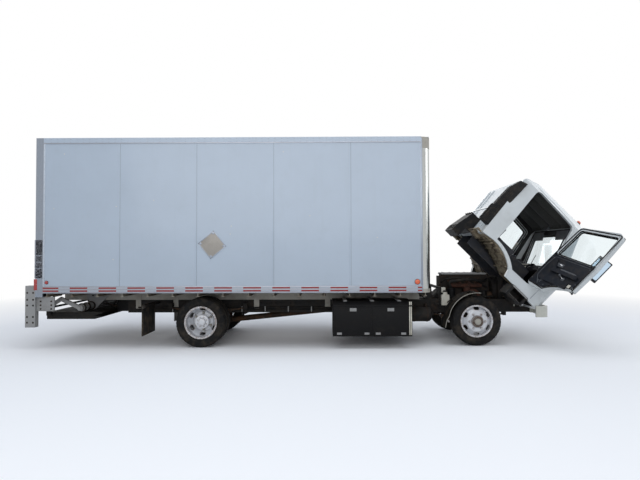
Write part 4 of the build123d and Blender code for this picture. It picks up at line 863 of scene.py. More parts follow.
def add_wheel_nut(bm, place, side, flange, nut, stud):
    """Nut on a dished flange with its stud's end; nut and stud are (distance out, radius, length)."""
    out = (0, side, 0)
    add_lathe(bm, flange, place, out, 20)
    distance, radius, length = nut
    add_bolt(bm, place + Vector((0, side * distance, 0)), out, radius, length, washer=False)
    distance, radius, length = stud
    add_lathe(bm, ((radius, 0), (radius, length - 2), (radius - 2, length), (0, length)),
              place + Vector((0, side * distance, 0)), out, 12)


def add_rim_edges(bm, base, side, shift, inner):
    """Beaded edge of a rim, shift millimetres further out than a front one's, and the ring inside it."""
    edge = ((256, 88), (262, 92), (263, 99), (258, 102), (251, 99), (249, 90))
    for profile in (edge, inner):
        add_lathe(bm, [(radius, shift + along) for radius, along in profile], base, (0, side, 0), 96)


def add_valve(bm, base, side, points, corner):
    """Valve stem."""
    add_pipe(bm, [base + Vector(point) for point in on_side(side, points)], 4.5, 8, corner)


def make_front_hub(side, name):
    """Fittings of one front wheel."""
    hub, nuts, caps, edges = new_meshes(4)
    out = (0, side, 0)
    base = Vector((0, side * TRACK_HALF, AXLE_Z))
    add_lathe(hub, ((98, 126), (100, 134), (97, 146), (88, 155), (74, 161), (60, 161), (57, 153), (0, 153)),
              base, out, 40)
    for place in wheel_places(base, side, 66, 160, around(NUT_COUNT, 0.5)):
        add_bolt(hub, place, out, 7, 6, washer=False)
    add_lathe(caps, ((52, 153), (52, 166), (46, 173), (20, 177), (0, 177)), base, out, 32)
    for place in wheel_places(base, side, 126, 124, around(NUT_COUNT)):
        add_wheel_nut(nuts, place, side, ((22, 0), (22, 4), (18, 8)), (6, 17, 18), (23, 8, 11))
    add_rim_edges(edges, base, side, 0, ((236, 52), (238, 60), (236, 66), (232, 62)))
    add_valve(nuts, base, side, ((218, 92, 0), (222, 118, 0), (206, 140, 0)), 10)
    body = f"front_wheel_{name}"
    new_piece(f"front_hub_{name}", hub, hub_rust, body)
    new_piece(f"front_cap_{name}", caps, pale_steel, body)
    new_piece(f"front_nuts_{name}", nuts, wheel_paint, body)
    new_piece(f"front_rim_edge_{name}", edges, wheel_paint, body)


def make_rear_hub(side, name):
    """Fittings of one pair of rear wheels."""
    hub, nuts, edges = new_meshes(3)
    out = (0, side, 0)
    base = Vector((REAR_AXLE, side * TRACK_HALF, AXLE_Z))
    add_lathe(hub, ((112, 118), (108, 124), (96, 127), (66, 127), (64, 150), (56, 160), (30, 164), (0, 164)),
              base, out, 40)
    for place in wheel_places(base, side, 82, 126, around(8, 0.5)):
        add_bolt(hub, place, out, 9, 9, washer=False)
    for place in wheel_places(base, side, 137, 11, around(NUT_COUNT, 0.5)):
        add_wheel_nut(nuts, place, side, ((24, 0), (24, 5), (19, 9)), (8, 18, 22), (29, 9, 16))
    add_rim_edges(edges, base, side, TWIN_OFFSET, ((236, 20), (239, 26), (236, 32), (233, 26)))
    add_valve(nuts, base, side, ((214, 30, 0), (222, 110, 0), (206, 190, 0)), 30)
    body = f"rear_wheels_{name}"
    new_piece(f"rear_hub_{name}", hub, wheel_paint, body)
    new_piece(f"rear_nuts_{name}", nuts, pale_steel, body)
    new_piece(f"rear_rim_edge_{name}", edges, wheel_paint, body)


def make_wheel_fittings():
    """Hub bells, caps, wheel nuts with their studs, valve stems and the rims' beaded edges."""
    for side, name in SIDE_NAMES.items():
        make_front_hub(side, name)
        make_rear_hub(side, name)


# Chassis
RAIL_HALF = 425
CROSSMEMBERS = (-1750, -2800, -3700, -5250)
BODY_MOUNTS = (-1300, -2420, -3650, -5050, -5700)


def make_frame_fittings():
    """Crossmember bolts, bolted body mounts, and brake and wiring lines clipped along the rails."""
    bolts, mounts, lines, clips = new_meshes(4)
    for side in SIDES:
        out = (0, side, 0)
        for cross_x in CROSSMEMBERS:
            for x in (-28, 28):
                for z in (600, 640, 680):
                    add_bolt(bolts, (cross_x + x, side * RAIL_HALF, z), out, 10)
        for x in BODY_MOUNTS:
            side_box(mounts, (x - 45, x + 45), side, (RAIL_HALF, RAIL_HALF + 9), (560, 872), 3)
            side_box(mounts, (x - 45, x + 45), side, (RAIL_HALF, RAIL_HALF + 60), (862, 872), 3)
            for z in (600, 650, 760, 810):
                add_bolt(mounts, (x, side * (RAIL_HALF + 9), z), out, 13)
        for row, radius in ((530, 7), (548, 7), (574, 12)):
            points = ((-5700, 6), (-5000, 0), (-4200, -4), (-3300, 5), (-2500, 0), (-900, 3))
            y = RAIL_HALF + 5 + radius
            add_pipe(lines, on_side(side, [(x, y, row + rise) for x, rise in points]), radius, 10, 120)
        for x in spaced(-5500, 400, 12):
            side_box(clips, (x - 9, x + 9), side, (RAIL_HALF, RAIL_HALF + 33), (515, 596), 4)
            add_bolt(clips, (x, side * (RAIL_HALF + 33), 506), out, 7, washer=False)
    new_piece("frame_bolts", bolts, casting)
    new_piece("body_mounts", mounts, pale_steel)
    new_piece("frame_lines", lines, seal_rubber)
    new_piece("line_clips", clips, grey_steel)


def make_locker_details():
    """Doors, hinges, latches, straps and skirt of the side locker, and its mounting brackets."""
    doors, metal, straps = new_meshes(3)
    rear, front = -2347, -1091
    face = 1181
    middle_x = (rear + front) / 2
    for low, high in ((rear + 26, middle_x - 8), (middle_x + 8, front - 60)):
        side_box(doors, (low, high), -1, (face - 6, face + 10), (236, 664), 6)
        side_box(doors, (low + 34, high - 34), -1, (face + 8, face + 13), (276, 624), 5)
        centre = (low + high) / 2
        side_box(metal, (centre - 52, centre + 52), -1, (face + 12, face + 17), (596, 646), 5)
        add_lathe(metal, ((22, 0), (22, 5), (18, 8), (0, 8)), (centre, -(face + 17), 621), RIGHT, 20)
        side_box(metal, (centre - 7, centre + 7), -1, (face + 22, face + 34), (600, 642), 4)
        for hinge_x in (low + 80, high - 80):
            side_box(metal, (hinge_x - 38, hinge_x + 38), -1, (face + 9, face + 14), (238, 262), 2)
            add_rod(metal, (hinge_x - 38, -(face + 12), 236), (hinge_x + 38, -(face + 12), 236), 8, 12)
    side_box(doors, (rear, front), -1, (face - 4, face + 20), (672, 690), 5)
    side_box(doors, (rear, front), -1, (face - 4, face + 12), (206, 222), 4)
    for x in (front - 42, front - 18):
        side_box(straps, (x - 8, x + 8), -1, (face - 2, face + 9), (215, 745), 2)
        for z in (240, 420, 600):
            add_bolt(straps, (x, -(face + 9), z), RIGHT, 6, washer=False)
    for x in (rear + 200, middle_x, front - 200):
        side_box(metal, (x - 28, x + 28), -1, (RAIL_HALF, 1150), (748, 760), 3)
        side_box(metal, (x - 28, x + 28), -1, (RAIL_HALF, RAIL_HALF + 10), (520, 760), 3)
        for z in (560, 640, 700):
            add_bolt(metal, (x, -(RAIL_HALF + 10), z), RIGHT, 11)
    new_piece("locker_doors", doors, locker_black)
    new_piece("locker_metal", metal, grey_steel)
    new_piece("locker_straps", straps, white_plastic)


def make_tank_details():
    """Straps, end seams, filler neck and cap of the fuel tank."""
    straps, cap, seams = new_meshes(3)
    outline = []
    for centre_y, centre_z, start in ((960, 610, 0), (620, 610, 90), (620, 370, 180), (960, 370, 270)):
        for step in range(7):
            angle = radians(start + 15 * step)
            outline.append((centre_y + 93 * cos(angle), centre_z + 93 * sin(angle)))
    for x in (-1950, -1550, -1350):
        path = [(x, y, z) for y, z in outline]
        for first, second in zip(path, path[1:] + path[:1]):
            low, high = Vector(first), Vector(second)
            middle_point, run = (low + high) / 2, high - low
            matrix = Matrix.Translation(middle_point) @ run.to_track_quat("Y", "X").to_matrix().to_4x4()
            reach = run.length / 2 + 1
            add_box(straps, (-3, -reach, -20), (3, reach, 20), 1, matrix)
    for x in (-2148, -1152):
        for first, second in zip(outline, outline[1:] + outline[:1]):
            add_rod(seams, (x, *first), (x, *second), 5, 8)
    add_rod(cap, (-1700, 930, 660), (-1700, 985, 750), 34, 24)
    add_lathe(cap, ((46, 0), (48, 6), (46, 28), (36, 36), (0, 38)), (-1700, 985, 750), (0, 0.52, 0.85), 28)
    new_piece("tank_straps", straps, spring_steel)
    new_piece("tank_seams", seams, tank_alloy)
    new_piece("tank_filler", cap, locker_black)


def add_u_bolts(bm, x, y, low, high, width):
    """Pair of U-bolts over a spring, with nuts under the axle's pad."""
    for shift in (-38, 38):
        near, far = y - width / 2 - 9, y + width / 2 + 9
        legs = ((near, low), (near, high), (far, high), (far, low))
        add_pipe(bm, [(x + shift, *leg) for leg in legs], 8, 10, 22)
        for foot in (-1, 1):
            add_bolt(bm, (x + shift, y + foot * (width / 2 + 9), low + 22), DOWN, 13, 13)


def add_shock(bm, bright, foot, head):
    """Telescopic damper between two eyes."""
    foot, head = Vector(foot), Vector(head)
    run = head - foot
    for point in (foot, head):
        add_lathe(bm, ((24, -18), (24, 18), (9, 18), (9, -18)), point, LEFT, 18, closed=True)
    add_rod(bm, foot + run * 0.06, foot + run * 0.55, 27, 20)
    add_rod(bm, foot + run * 0.45, foot + run * 0.94, 33, 20)
    add_rod(bright, foot + run * 0.02, foot + run * 0.08, 11, 12)


def make_axle_fittings():
    """U-bolts, spring clips, dampers, brake drums and chambers, and the steering drag link."""
    iron, drums, bright = new_meshes(3)
    front_drums = dict(zip(SIDES, new_meshes(2)))
    for side in SIDES:
        add_u_bolts(iron, 0, side * 392.5, 320, 452, 62)
        add_u_bolts(iron, REAR_AXLE, side * 505, 330, 574, 68)
        for x in (-360, 360):
            side_box(iron, (x - 12, x + 12), side, (392.5 - 36, 392.5 + 36), (404, 446), 3)
        for x in (REAR_AXLE - 380, REAR_AXLE + 380):
            side_box(iron, (x - 12, x + 12), side, (505 - 39, 505 + 39), (506, 566), 3)
        add_shock(iron, bright, (150, side * 330, 340), (250, side * 330, 660))
        add_shock(iron, bright, (REAR_AXLE + 140, side * 350, 360), (REAR_AXLE + 330, side * 350, 680))
        add_lathe(front_drums[side], ((60, 0), (190, 4), (206, 14), (206, 76), (198, 84), (60, 86)),
                  (0, side * 735, AXLE_Z), (0, side, 0), 48)
        add_lathe(drums, ((70, 0), (196, 4), (208, 14), (208, 92), (198, 100), (70, 102)),
                  (REAR_AXLE, side * 590, AXLE_Z), (0, side, 0), 48)
        add_lathe(drums, ((70, 0), (230, 0), (230, 5), (70, 5)), (REAR_AXLE, side * 588, AXLE_Z),
                  (0, side, 0), 48)
        add_lathe(iron, ((0, 0), (58, 2), (74, 14), (76, 44), (80, 50), (76, 56), (72, 92), (50, 106),
                         (0, 108)), (REAR_AXLE + 118, side * 430, 470), (0.94, 0, 0.33), 32)
    add_rod(iron, (40, 470, 352), (640, 470, 440), 16, 14)
    add_lathe(iron, ((26, -20), (30, -12), (30, 12), (26, 20)), (36, 470, 350), LEFT, 18)
    add_box(iron, (600, 428, 400), (730, 545, 600), 18)
    new_piece("axle_iron", iron, casting)
    new_piece("brake_drums", drums, rusty)
    for side, name in SIDE_NAMES.items():
        new_piece(f"front_drum_{name}", front_drums[side], casting, f"front_wheel_{name}")
    new_piece("damper_rods", bright, chromed)


def make_exhaust_details():
    """Seams and clamps of the silencer, and the tail pipe to the rear."""
    bm = bmesh.new()
    for x in (-3305, -2455):
        add_lathe(bm, ((30, 0), (112, 0), (114, 6), (112, 12), (30, 12)), (x, 600, 560), AHEAD, 36)
    for x in (-3000, -2740):
        add_lathe(bm, ((105, 0), (110, 0), (110, 26), (105, 26)), (x, 600, 560), AHEAD, 36)
    add_pipe(bm, [(-3298, 600, 545), (-3600, 600, 530), (-3900, 560, 420), (-4050, 1000, 330),
                  (-4100, 1120, 300)], 34, 16, 140)
    add_pipe(bm, [(-2165, 600, 560), (-1500, 470, 620), (-700, 300, 640), (-300, 260, 700)], 33, 16, 160)
    new_piece("exhaust_details", bm, rusty)


def make_flap_details():
    """Retaining strips and bolts at the head of the mud flaps, with moulded ribs."""
    strips, ribs = new_meshes(2)
    for side in SIDES:
        for x in (-5383.5, -5366.5):
            side_box(strips, (x, x + 4), side, (570, 1150), (640, 684), 1)
        for y in spaced(600, 104, 6):
            add_bolt(strips, (-5383, side * y, 662), BACK, 9)
        for y in spaced(600, 62, 9):
            side_box(ribs, (-5382, -5378), side, (y, y + 12), (230, 610))
        side_box(ribs, (-5382, -5378), side, (575, 1145), (206, 226))
    new_piece("flap_strips", strips, grey_steel)
    new_piece("flap_ribs", ribs, flap_rubber)


# Mudguards, rear end and liftgate
GUARD_RADIUS = 462
STEP_REAR = -7205
LIFT_PIVOT = (-6500, 620)


def guard_point(angle, radius=GUARD_RADIUS):
    """X and Z on an arc round the front axle; the angle is measured from the top towards the rear."""
    return -radius * sin(radians(angle)), AXLE_Z + radius * cos(radians(angle))


def make_mudguards():
    """Rubber mudguards over and behind the front wheels, with rolled edges and stays, and two air tanks."""
    sheet, edge, ribs, stays, tank = new_meshes(5)
    angles = range(-8, 81, 4)
    for side in SIDES:
        outline = [guard_point(angle) for angle in angles]
        outline += [(outline[-1][0] - 40, 420), (outline[-1][0] - 62, 300)]
        rows = [[sheet.verts.new((x, side * y, z)) for y in (610, 960)] for x, z in outline]
        for first, second in zip(rows, rows[1:]):
            sheet.faces.new((first[0], second[0], second[1], first[1]))
        add_pipe(edge, [(x, side * 959, z) for x, z in outline], 4.5, 8, 12)
        add_pipe(ribs, [(x, side * 612, z) for x, z in outline], 6, 8, 12)
        for angle in (5, 45):
            x, z = guard_point(angle, GUARD_RADIUS + 9)
            add_pipe(stays, on_side(side, [(x, 940, z), (x - 6, 640, z + 2), (x - 40, 520, z - 60),
                                           (x - 60, 430, 690 - angle * 2)]), 10, 10, 60)
        side_box(stays, (-640, -520), side, (RAIL_HALF, RAIL_HALF + 8), (520, 690), 3)
        for x in (-610, -550):
            for z in (555, 655):
                add_bolt(stays, (x, side * (RAIL_HALF + 8), z), (0, side, 0), 10)
        rib = [guard_point(angle, GUARD_RADIUS - 3) for angle in range(12, 79, 6)]
        for y in spaced(650, 66, 5):
            add_pipe(ribs, [(x, side * y, z) for x, z in rib], 4, 6, 12)
    bmesh.ops.solidify(sheet, geom=sheet.faces[:], thickness=4)
    for y, z in ((-560, 470), (560, 470)):
        add_lathe(tank, ((0, 0), (70, 10), (112, 40), (120, 80), (120, 330), (112, 370), (70, 400), (0, 410)),
                  (-1060, y, z), AHEAD, 32)
        for x in (-960, -740):
            add_lathe(stays, ((119, 0), (124, 0), (124, 30), (119, 30)), (x - 15, y, z), AHEAD, 32)
            side_box(stays, (x - 18, x + 18), 1 if y > 0 else -1, (RAIL_HALF, 500), (560, 640), 3)
    new_piece("mudguards", sheet, flap_rubber)
    new_piece("mudguard_edges", edge, pale_steel)
    new_piece("mudguard_ribs", ribs, flap_rubber)
    new_piece("mudguard_stays", stays, casting)
    new_piece("air_tanks", tank, frame_black)


def make_post_hardware():
    """Reinforced feet of the rear posts: sleeves in four lengths with bolts, and rivets above."""
    sleeves, bolts = new_meshes(2)
    for side in SIDES:
        for low, high in ((1492, 1736), (1390, 1484), (1292, 1382), (1128, 1284)):
            side_box(sleeves, (BOX_REAR + 2, POST_FRONT - 6), side, (RAIL_FACE - 3, RAIL_FACE),
                     (low, high), 1.2)
            side_box(sleeves, (BOX_REAR - 14, BOX_REAR + 1), side, (1122, RAIL_FACE - 1), (low, high), 4)
            for z in (low + 18, high - 18):
                for y in (1140, 1205):
                    add_bolt(bolts, (BOX_REAR - 14, side * y, z), BACK, 8, washer=False)
        for z in (1484, 1382, 1284):
            side_box(bolts, (BOX_REAR - 8, POST_FRONT - 4), side, (1124, RAIL_FACE - 1.5), (z, z + 8), 1)
        for z in spaced(1880, 150, 8):
            for y in (1128, 1210):
                add_rivet(bolts, (BOX_REAR + 1, side * y, z), BACK, 5)
    new_piece("post_sleeves", sleeves, alloy_long)
    new_piece("post_bolts", bolts, casting)


def make_step_posts():
    """Bolt holes and feet of the step posts, ribs and tape on the dock sill, and a bare plate under it."""
    holes, treads, plate, red, white = new_meshes(5)
    for side in SIDES:
        for z in (430, 520, 700, 790, 900):
            for x in (STEP_REAR + 32, BOX_REAR - 32):
                add_lathe(holes, ((15, 0), (15, 1.5), (11, 2), (9, 0.4), (0, 0.4)),
                          (x, side * (BOX_HALF - 0.2), z), (0, side, 0), 20)
        side_box(treads, (STEP_REAR, BOX_REAR), side, (1118, BOX_HALF + 2), (354, 366), 3)
        side_box(treads, (BOX_REAR - 6, BOX_REAR + 270), side, (1168, 1186), (606, 614), 2)
        for z in (640, 700, 760):
            for x in (BOX_REAR + 60, BOX_REAR + 230):
                add_bolt(holes, (x, side * 1169, z), (0, side, 0), 12)
    for index, y in enumerate(spaced(-1080, 74.5, 30)):
        add_box(treads, (STEP_REAR + 10, y - 5, 968.5), (BOX_REAR - 8, y + 5, 973), 1.5)
        if index % 6:
            add_box(treads, (STEP_REAR + 70, y - 28, 968.5), (STEP_REAR + 78, y + 28, 972), 1.5)
    for index, y in enumerate(spaced(-900, 300, 7)):
        add_box(red if index % 2 else white, (STEP_REAR - 0.3, y - 148, 930), (STEP_REAR + 1, y + 148, 962))
    add_box(plate, (STEP_REAR + 20, -460, 760), (STEP_REAR + 24, -150, 912), 2)
    add_box(plate, (STEP_REAR + 26, -470, 900), (STEP_REAR + 50, -140, 926), 4)
    new_piece("post_holes", holes, casting)
    new_piece("step_edges", treads, grey_steel)
    new_piece("rear_plate", plate, placard_grey)
    new_piece("sill_tape_red", red, red_tape, smooth=0)
    new_piece("sill_tape_white", white, white_tape, smooth=0)


def make_lift_details():
    """Eyes, collars and pump box of the liftgate, edge channels and slats of its folded platform."""
    iron, box, arms, slats = new_meshes(4)
    pivot_x, pivot_z = LIFT_PIVOT
    for side in SIDES:
        for y in (470, 640, 800):
            add_lathe(iron, ((59, 0), (72, 2), (76, 10), (76, 26), (72, 34), (59, 36)),
                      (pivot_x, side * y, pivot_z), (0, side, 0), 32)
        for x, z in ((-6560, 700), (-6380, 790), (-6300, 790), (-6480, 790)):
            add_bolt(iron, (x, side * 457, z), (0, side, 0), 12)
        for x, z in (LIFT_PIVOT, (pivot_x - 550, pivot_z)):
            add_lathe(arms, ((14, 0), (40, 0), (40, 5), (24, 9), (22, 16), (0, 16)), (x, side * 884, z),
                      (0, side, 0), 24)
        add_bolt(arms, (pivot_x - 320, side * 885, pivot_z + 150), (0, side, 0), 13)
        side_box(slats, (-7086, -6300), side, (786, 804), (470, 512), 4)
        for x in spaced(-7020, 110, 7):
            add_bolt(slats, (x, side * 803, 491), (0, side, 0), 8, washer=False)
    for y in spaced(-720, 180, 9):
        add_box(slats, (-7080, y - 8, 424), (-6310, y + 8, 432), 2)
    add_box(box, (-6120, -300, 500), (-5900, 300, 708), 10)
    add_box(box, (-6128, -270, 530), (-6118, 270, 680), 5)
    for y in (-230, 0, 230):
        add_bolt(iron, (-6129, y, 668), BACK, 8)
    hose = ((-6120, 180, 560), (-6220, 200, 590), (-6330, 260, 640), (-6440, 300, 640))
    for side in SIDES:
        add_pipe(iron, on_side(side, hose), 12, 10, 60)
    new_piece("lift_collars", iron, casting)
    new_piece("pump_box", box, locker_black)
    new_piece("lift_arm_pins", arms, grey_steel, "lift_arms")
    new_piece("platform_slats", slats, frame_black, "lift_platform")


def make_roll_door_details():
    """Hinges and seams of the roll door, its lock, strap and bottom rubber, and seams across the roof."""
    metal, rubber, dark, roof = new_meshes(4)
    face, pitch = -6927.7, 2220 / 7
    for row in range(1, 7):
        z = 970 + row * pitch
        add_box(dark, (face - 1.5, -1105, z - 3), (face + 2, 1105, z + 3), 0.5)
        for y in (-960, -480, 0, 480, 960):
            for low in (z - 34, z + 6):
                for shift in (-18, 18):
                    add_rivet(metal, (face + 0.3, y + shift, low + 14), BACK, 6, 3)
    add_box(rubber, (face - 14, -1108, 962), (face + 4, 1108, 992), 5)
    add_box(metal, (face - 6, -150, 1050), (face + 1, 150, 1190), 4)
    add_rod(metal, (face - 6, 0, 1120), (face - 30, 0, 1120), 17, 20)
    add_box(metal, (face - 40, -14, 1104), (face - 27, 120, 1136), 6)
    add_box(metal, (face - 24, -420, 1112), (face - 12, -60, 1128), 4)
    add_pipe(metal, [(face, 330, 1040), (face - 34, 330, 1046), (face - 34, 520, 1046), (face, 520, 1040)],
             8, 10, 16)
    add_box(rubber, (face - 9, -640, 1000), (face - 5, -600, 1090), 2)
    add_box(dark, (face - 10, -20, 955), (face - 2, 20, 1050), 3)
    for x in spaced(SEAM_START, SEAM_PITCH, 5):
        if x < BOX_FRONT - 40:
            add_box(roof, (x - 22, -1190, 3349), (x + 22, 1190, 3352.5), 1)
    for y in (-900, -450, 0, 450, 900):
        add_box(roof, (BOX_FRONT - 2, y - 22, BOX_BOTTOM + 70), (BOX_FRONT + 2, y + 22, BOX_TOP - 150), 1)
    new_piece("door_ironwork", metal, chromed)
    new_piece("door_rubber", rubber, seal_rubber)
    new_piece("door_seams", dark, joint_line)
    new_piece("roof_seams", roof, bright_skin)


# Engine bay
def make_engine_top():
    """Valve cover with its bolts and filler cap, intake runners and the injection pipes."""
    cover, metal, pipes, caps = new_meshes(4)
    add_box(cover, (-395, -108, 1120), (425, 108, 1152), 14)
    for x in spaced(-330, 135, 6):
        add_box(cover, (x - 8, -98, 1148), (x + 8, 98, 1158), 4)
        for y in (-100, 100):
            add_bolt(metal, (x + 60, y, 1146), UP, 8)
    add_lathe(caps, ((38, 0), (42, 5), (40, 11), (24, 16), (0, 16)), (300, 0, 1146), UP, 24)
    for x in spaced(-270, 170, 4):
        add_pipe(pipes, [(x, 95, 1060), (x, 190, 1080), (x, 225, 960)], 26, 16, 60)
        add_pipe(metal, [(x + 20, -100, 1040), (x + 30, -160, 1075), (x - 30, -185, 1000), (120, -200, 900)],
                 4.5, 8, 40)
    add_rod(pipes, (-360, 225, 950), (340, 225, 950), 44, 20)
    add_pipe(pipes, [(340, 225, 950), (470, 225, 960), (520, 160, 1020), (556, 150, 1040)], 34, 16, 60)
    new_piece("valve_cover", cover, grey_steel)
    new_piece("engine_bolts", metal, spring_steel)
    new_piece("intake_pipes", pipes, casting)
    new_piece("filler_cap", caps, seal_rubber)


def make_engine_side():
    """Right side of the engine: exhaust manifold, turbocharger, filters, pump, starter and hoses."""
    iron, rust, black, hoses = new_meshes(4)
    for x in spaced(-250, 165, 4):
        add_pipe(rust, [(x, -125, 1000), (x, -190, 990), (x + 30, -215, 940)], 24, 14, 36)
    add_rod(rust, (-260, -215, 930), (300, -215, 930), 36, 20)
    add_lathe(rust, ((30, -60), (70, -52), (92, -30), (96, 0), (88, 34), (60, 52), (34, 60)),
              (30, -218, 850), AHEAD, 28)
    add_pipe(rust, [(90, -240, 850), (210, -250, 830), (250, -255, 720), (120, -260, 640)], 33, 16, 70)
    add_lathe(black, ((0, -100), (66, -96), (72, -86), (72, 86), (66, 96), (0, 100)), (-240, -240, 790), UP, 30)
    add_lathe(black, ((0, -90), (50, -84), (54, -70), (54, 70), (46, 86), (0, 90)), (330, -240, 760), UP, 26)
    add_rod(iron, (-430, -215, 640), (-250, -215, 640), 58, 24)
    add_rod(iron, (-460, -190, 700), (-330, -190, 700), 34, 18)
    add_box(iron, (120, -260, 640), (300, -165, 780), 16)
    for x in spaced(-400, 180, 5):
        add_box(iron, (x, -178, 440), (x + 15, -165, 735), 3)
    for x in spaced(-400, 78, 12):
        add_bolt(iron, (x, -170, 500), RIGHT, 8)
    add_pipe(hoses, [(430, -60, 1060), (520, -120, 1090), (560, -220, 1060)], 30, 16, 60)
    add_pipe(hoses, [(430, -120, 620), (500, -200, 600), (562, -240, 650)], 32, 16, 60)
    add_pipe(hoses, [(-240, -250, 880), (-300, -280, 1000), (60, -285, 1050), (330, -250, 1010),
                     (420, -110, 1050)], 24, 14, 90)
    add_pipe(hoses, [(-400, -150, 830), (-375, -205, 820), (-330, -270, 770), (-200, -298, 742),
                     (480, -296, 745)], 13, 12, 90)
    add_pipe(hoses, [(-400, -150, 980), (-375, -200, 1010), (-320, -240, 1050), (-100, -250, 1075),
                     (200, -260, 1020), (400, -180, 900)], 11, 12, 110)
    new_piece("engine_iron", iron, casting)
    new_piece("manifold", rust, rusty)
    new_piece("filters", black, locker_black)
    new_piece("engine_hoses", hoses, seal_rubber)


def make_engine_front():
    """Pulleys, belt, alternator, fan blades, and the radiator's core, tanks and cap."""
    pulleys, belt, fan, core, tanks = new_meshes(5)
    for y, z, radius in ((0, 560, 84), (-170, 760, 44), (150, 800, 60), (0, 860, 70)):
        add_lathe(pulleys, ((radius * 0.3, 0), (radius, 0), (radius, 6), (radius - 7, 13), (radius, 20),
                            (radius, 26), (radius * 0.3, 26)), (471, y, z), AHEAD, 32)
    ring = [(484, 0, 475), (484, 84, 560), (484, 206, 810), (484, 140, 858), (484, 0, 931), (484, -70, 880),
            (484, -214, 760), (484, -84, 540), (484, 0, 475)]
    add_pipe(belt, ring, 6, 8, 50)
    add_rod(pulleys, (330, -170, 760), (468, -170, 760), 66, 24)
    for angle in around(9):
        turn = Matrix.Translation((510, 0, 840)) @ Matrix.Rotation(angle, 4, "X") @ Matrix.Rotation(0.5, 4, "Z")
        add_box(fan, (-22, -26, 50), (22, 26, 215), 8, turn)
    add_lathe(fan, ((0, 0), (62, 0), (66, 10), (62, 40), (0, 44)), (490, 0, 840), AHEAD, 28)
    for z in spaced(646, 10.4, 38):
        add_box(core, (638, -300, z), (645, 300, z + 3))
    for y in spaced(-288, 48, 13):
        add_box(core, (636, y - 4, 640), (643, y + 4, 1040), 1)
    for z in (1042, 604):
        add_box(tanks, (566, -317, z), (634, 317, z + 36), 12)
    add_lathe(tanks, ((26, 0), (34, 4), (34, 16), (20, 22), (0, 22)), (600, -230, 1076), UP, 22)
    new_piece("pulleys", pulleys, spring_steel)
    new_piece("belt", belt, seal_rubber)
    new_piece("fan", fan, duct_plastic)
    new_piece("radiator_core", core, tank_alloy)
    new_piece("radiator_tanks", tanks, locker_black)


def make_bay_fittings():
    """Coolant bottle, breather box, fuel filter and hoses in front of the cargo body."""
    pale, black, red = new_meshes(3)
    side_box(pale, (-475, -335), -1, (434, 514), (612, 796), 24)
    add_lathe(pale, ((38, 0), (38, 30), (34, 44), (30, 60), (0, 60)), (-405, -476, 784), UP, 26)
    add_lathe(black, ((34, 0), (36, 20), (30, 26), (0, 26)), (-405, -476, 840), UP, 24)
    side_box(pale, (-456, -384), -1, (354, 428), (824, 912), 14)
    side_box(black, (-440, -400), -1, (398, 408), (708, 828), 3)
    side_box(black, (-580, -390), -1, (RAIL_HALF, 470), (620, 648), 3)
    side_box(black, (-500, -470), -1, (RAIL_HALF, 470), (560, 700), 3)
    add_pipe(red, [(700, -436, 690), (712, -440, 742), (800, -440, 662), (830, -436, 630)], 11, 12, 20)
    add_pipe(black, [(-760, -290, 758), (-660, -296, 752), (-560, -300, 735)], 14, 12, 60)
    side_box(black, (-725, -620), -1, (392, 404), (706, 880), 3)
    add_lathe(black, ((30, 0), (44, 6), (46, 20), (46, 120), (40, 128), (40, 140), (48, 146), (48, 172),
                      (34, 184), (0, 186)), (-672, -345, 714), UP, 28)
    add_pipe(black, [(-672, -345, 890), (-668, -330, 908), (-642, -308, 890), (-630, -300, 790),
                     (-560, -290, 742)], 9, 10, 24)
    add_pipe(black, [(-690, -345, 885), (-700, -330, 912), (-730, -310, 880), (-770, -290, 770)], 9, 10, 24)
    add_pipe(black, [(-760, -120, 748), (-600, -180, 745), (-430, -200, 715)], 18, 14, 60)
    add_pipe(black, [(-440, 240, 712), (-620, 290, 728), (-780, 300, 735)], 26, 16, 80)
    new_piece("coolant_bottle", pale, white_plastic)
    new_piece("bay_fittings", black, seal_rubber)
    new_piece("red_hose", red, red_plastic)


def make_gearbox_details():
    """Bell-housing flange and bolts, gearbox ribs and the propeller shaft's joints."""
    bm = bmesh.new()
    add_lathe(bm, ((80, 0), (186, 0), (190, 6), (190, 24), (80, 24)), (-446, 0, 600), BACK, 40)
    for angle in around(12):
        add_bolt(bm, (-470, 176 * cos(angle), 600 + 176 * sin(angle)), BACK, 9, washer=False)
    for x in spaced(-700, -90, 5):
        shrink = (x + 620) / -530
        half_y, half_z = 115 - 38 * shrink, 125 - 38 * shrink
        add_box(bm, (x - 7, -half_y - 8, 590 - half_z - 8), (x + 7, half_y + 8, 590 + half_z + 8), 4)
    for x, z, radius in ((-1200, 588, 62), (-2350, 500, 60), (-4180, 342, 62)):
        add_lathe(bm, ((20, -34), (radius, -30), (radius, -12), (34, -6), (34, 6), (radius, 12), (radius, 30),
                       (20, 34)), (x, 0, z), (1, 0, 0.08), 24)
        for angle in (0, pi / 2, pi, 3 * pi / 2):
            add_bolt(bm, (x + 30, 44 * cos(angle), z + 44 * sin(angle)), AHEAD, 8, washer=False)
    new_piece("driveline_details", bm, casting)


# Cab
BELT = 1468
WALL = 60
SCREEN_BASE = Vector((1045, 0, 1230))
SCREEN_UP = Vector((640 - 1045, 0, 2180 - 1230)).normalized()
SCREEN_OUT = Vector((SCREEN_UP.z, 0, -SCREEN_UP.x))


def skin_y(z):
    """Half width of the cab's outside at a height."""
    stops = ((500, 900), (840, 1000), (BELT, 1000), (2075, 918), (2192, 830), (2240, 500))
    for (low, first), (high, second) in zip(stops, stops[1:]):
        if z <= high:
            return first + (second - first) * (z - low) / (high - low)
    return stops[-1][1]


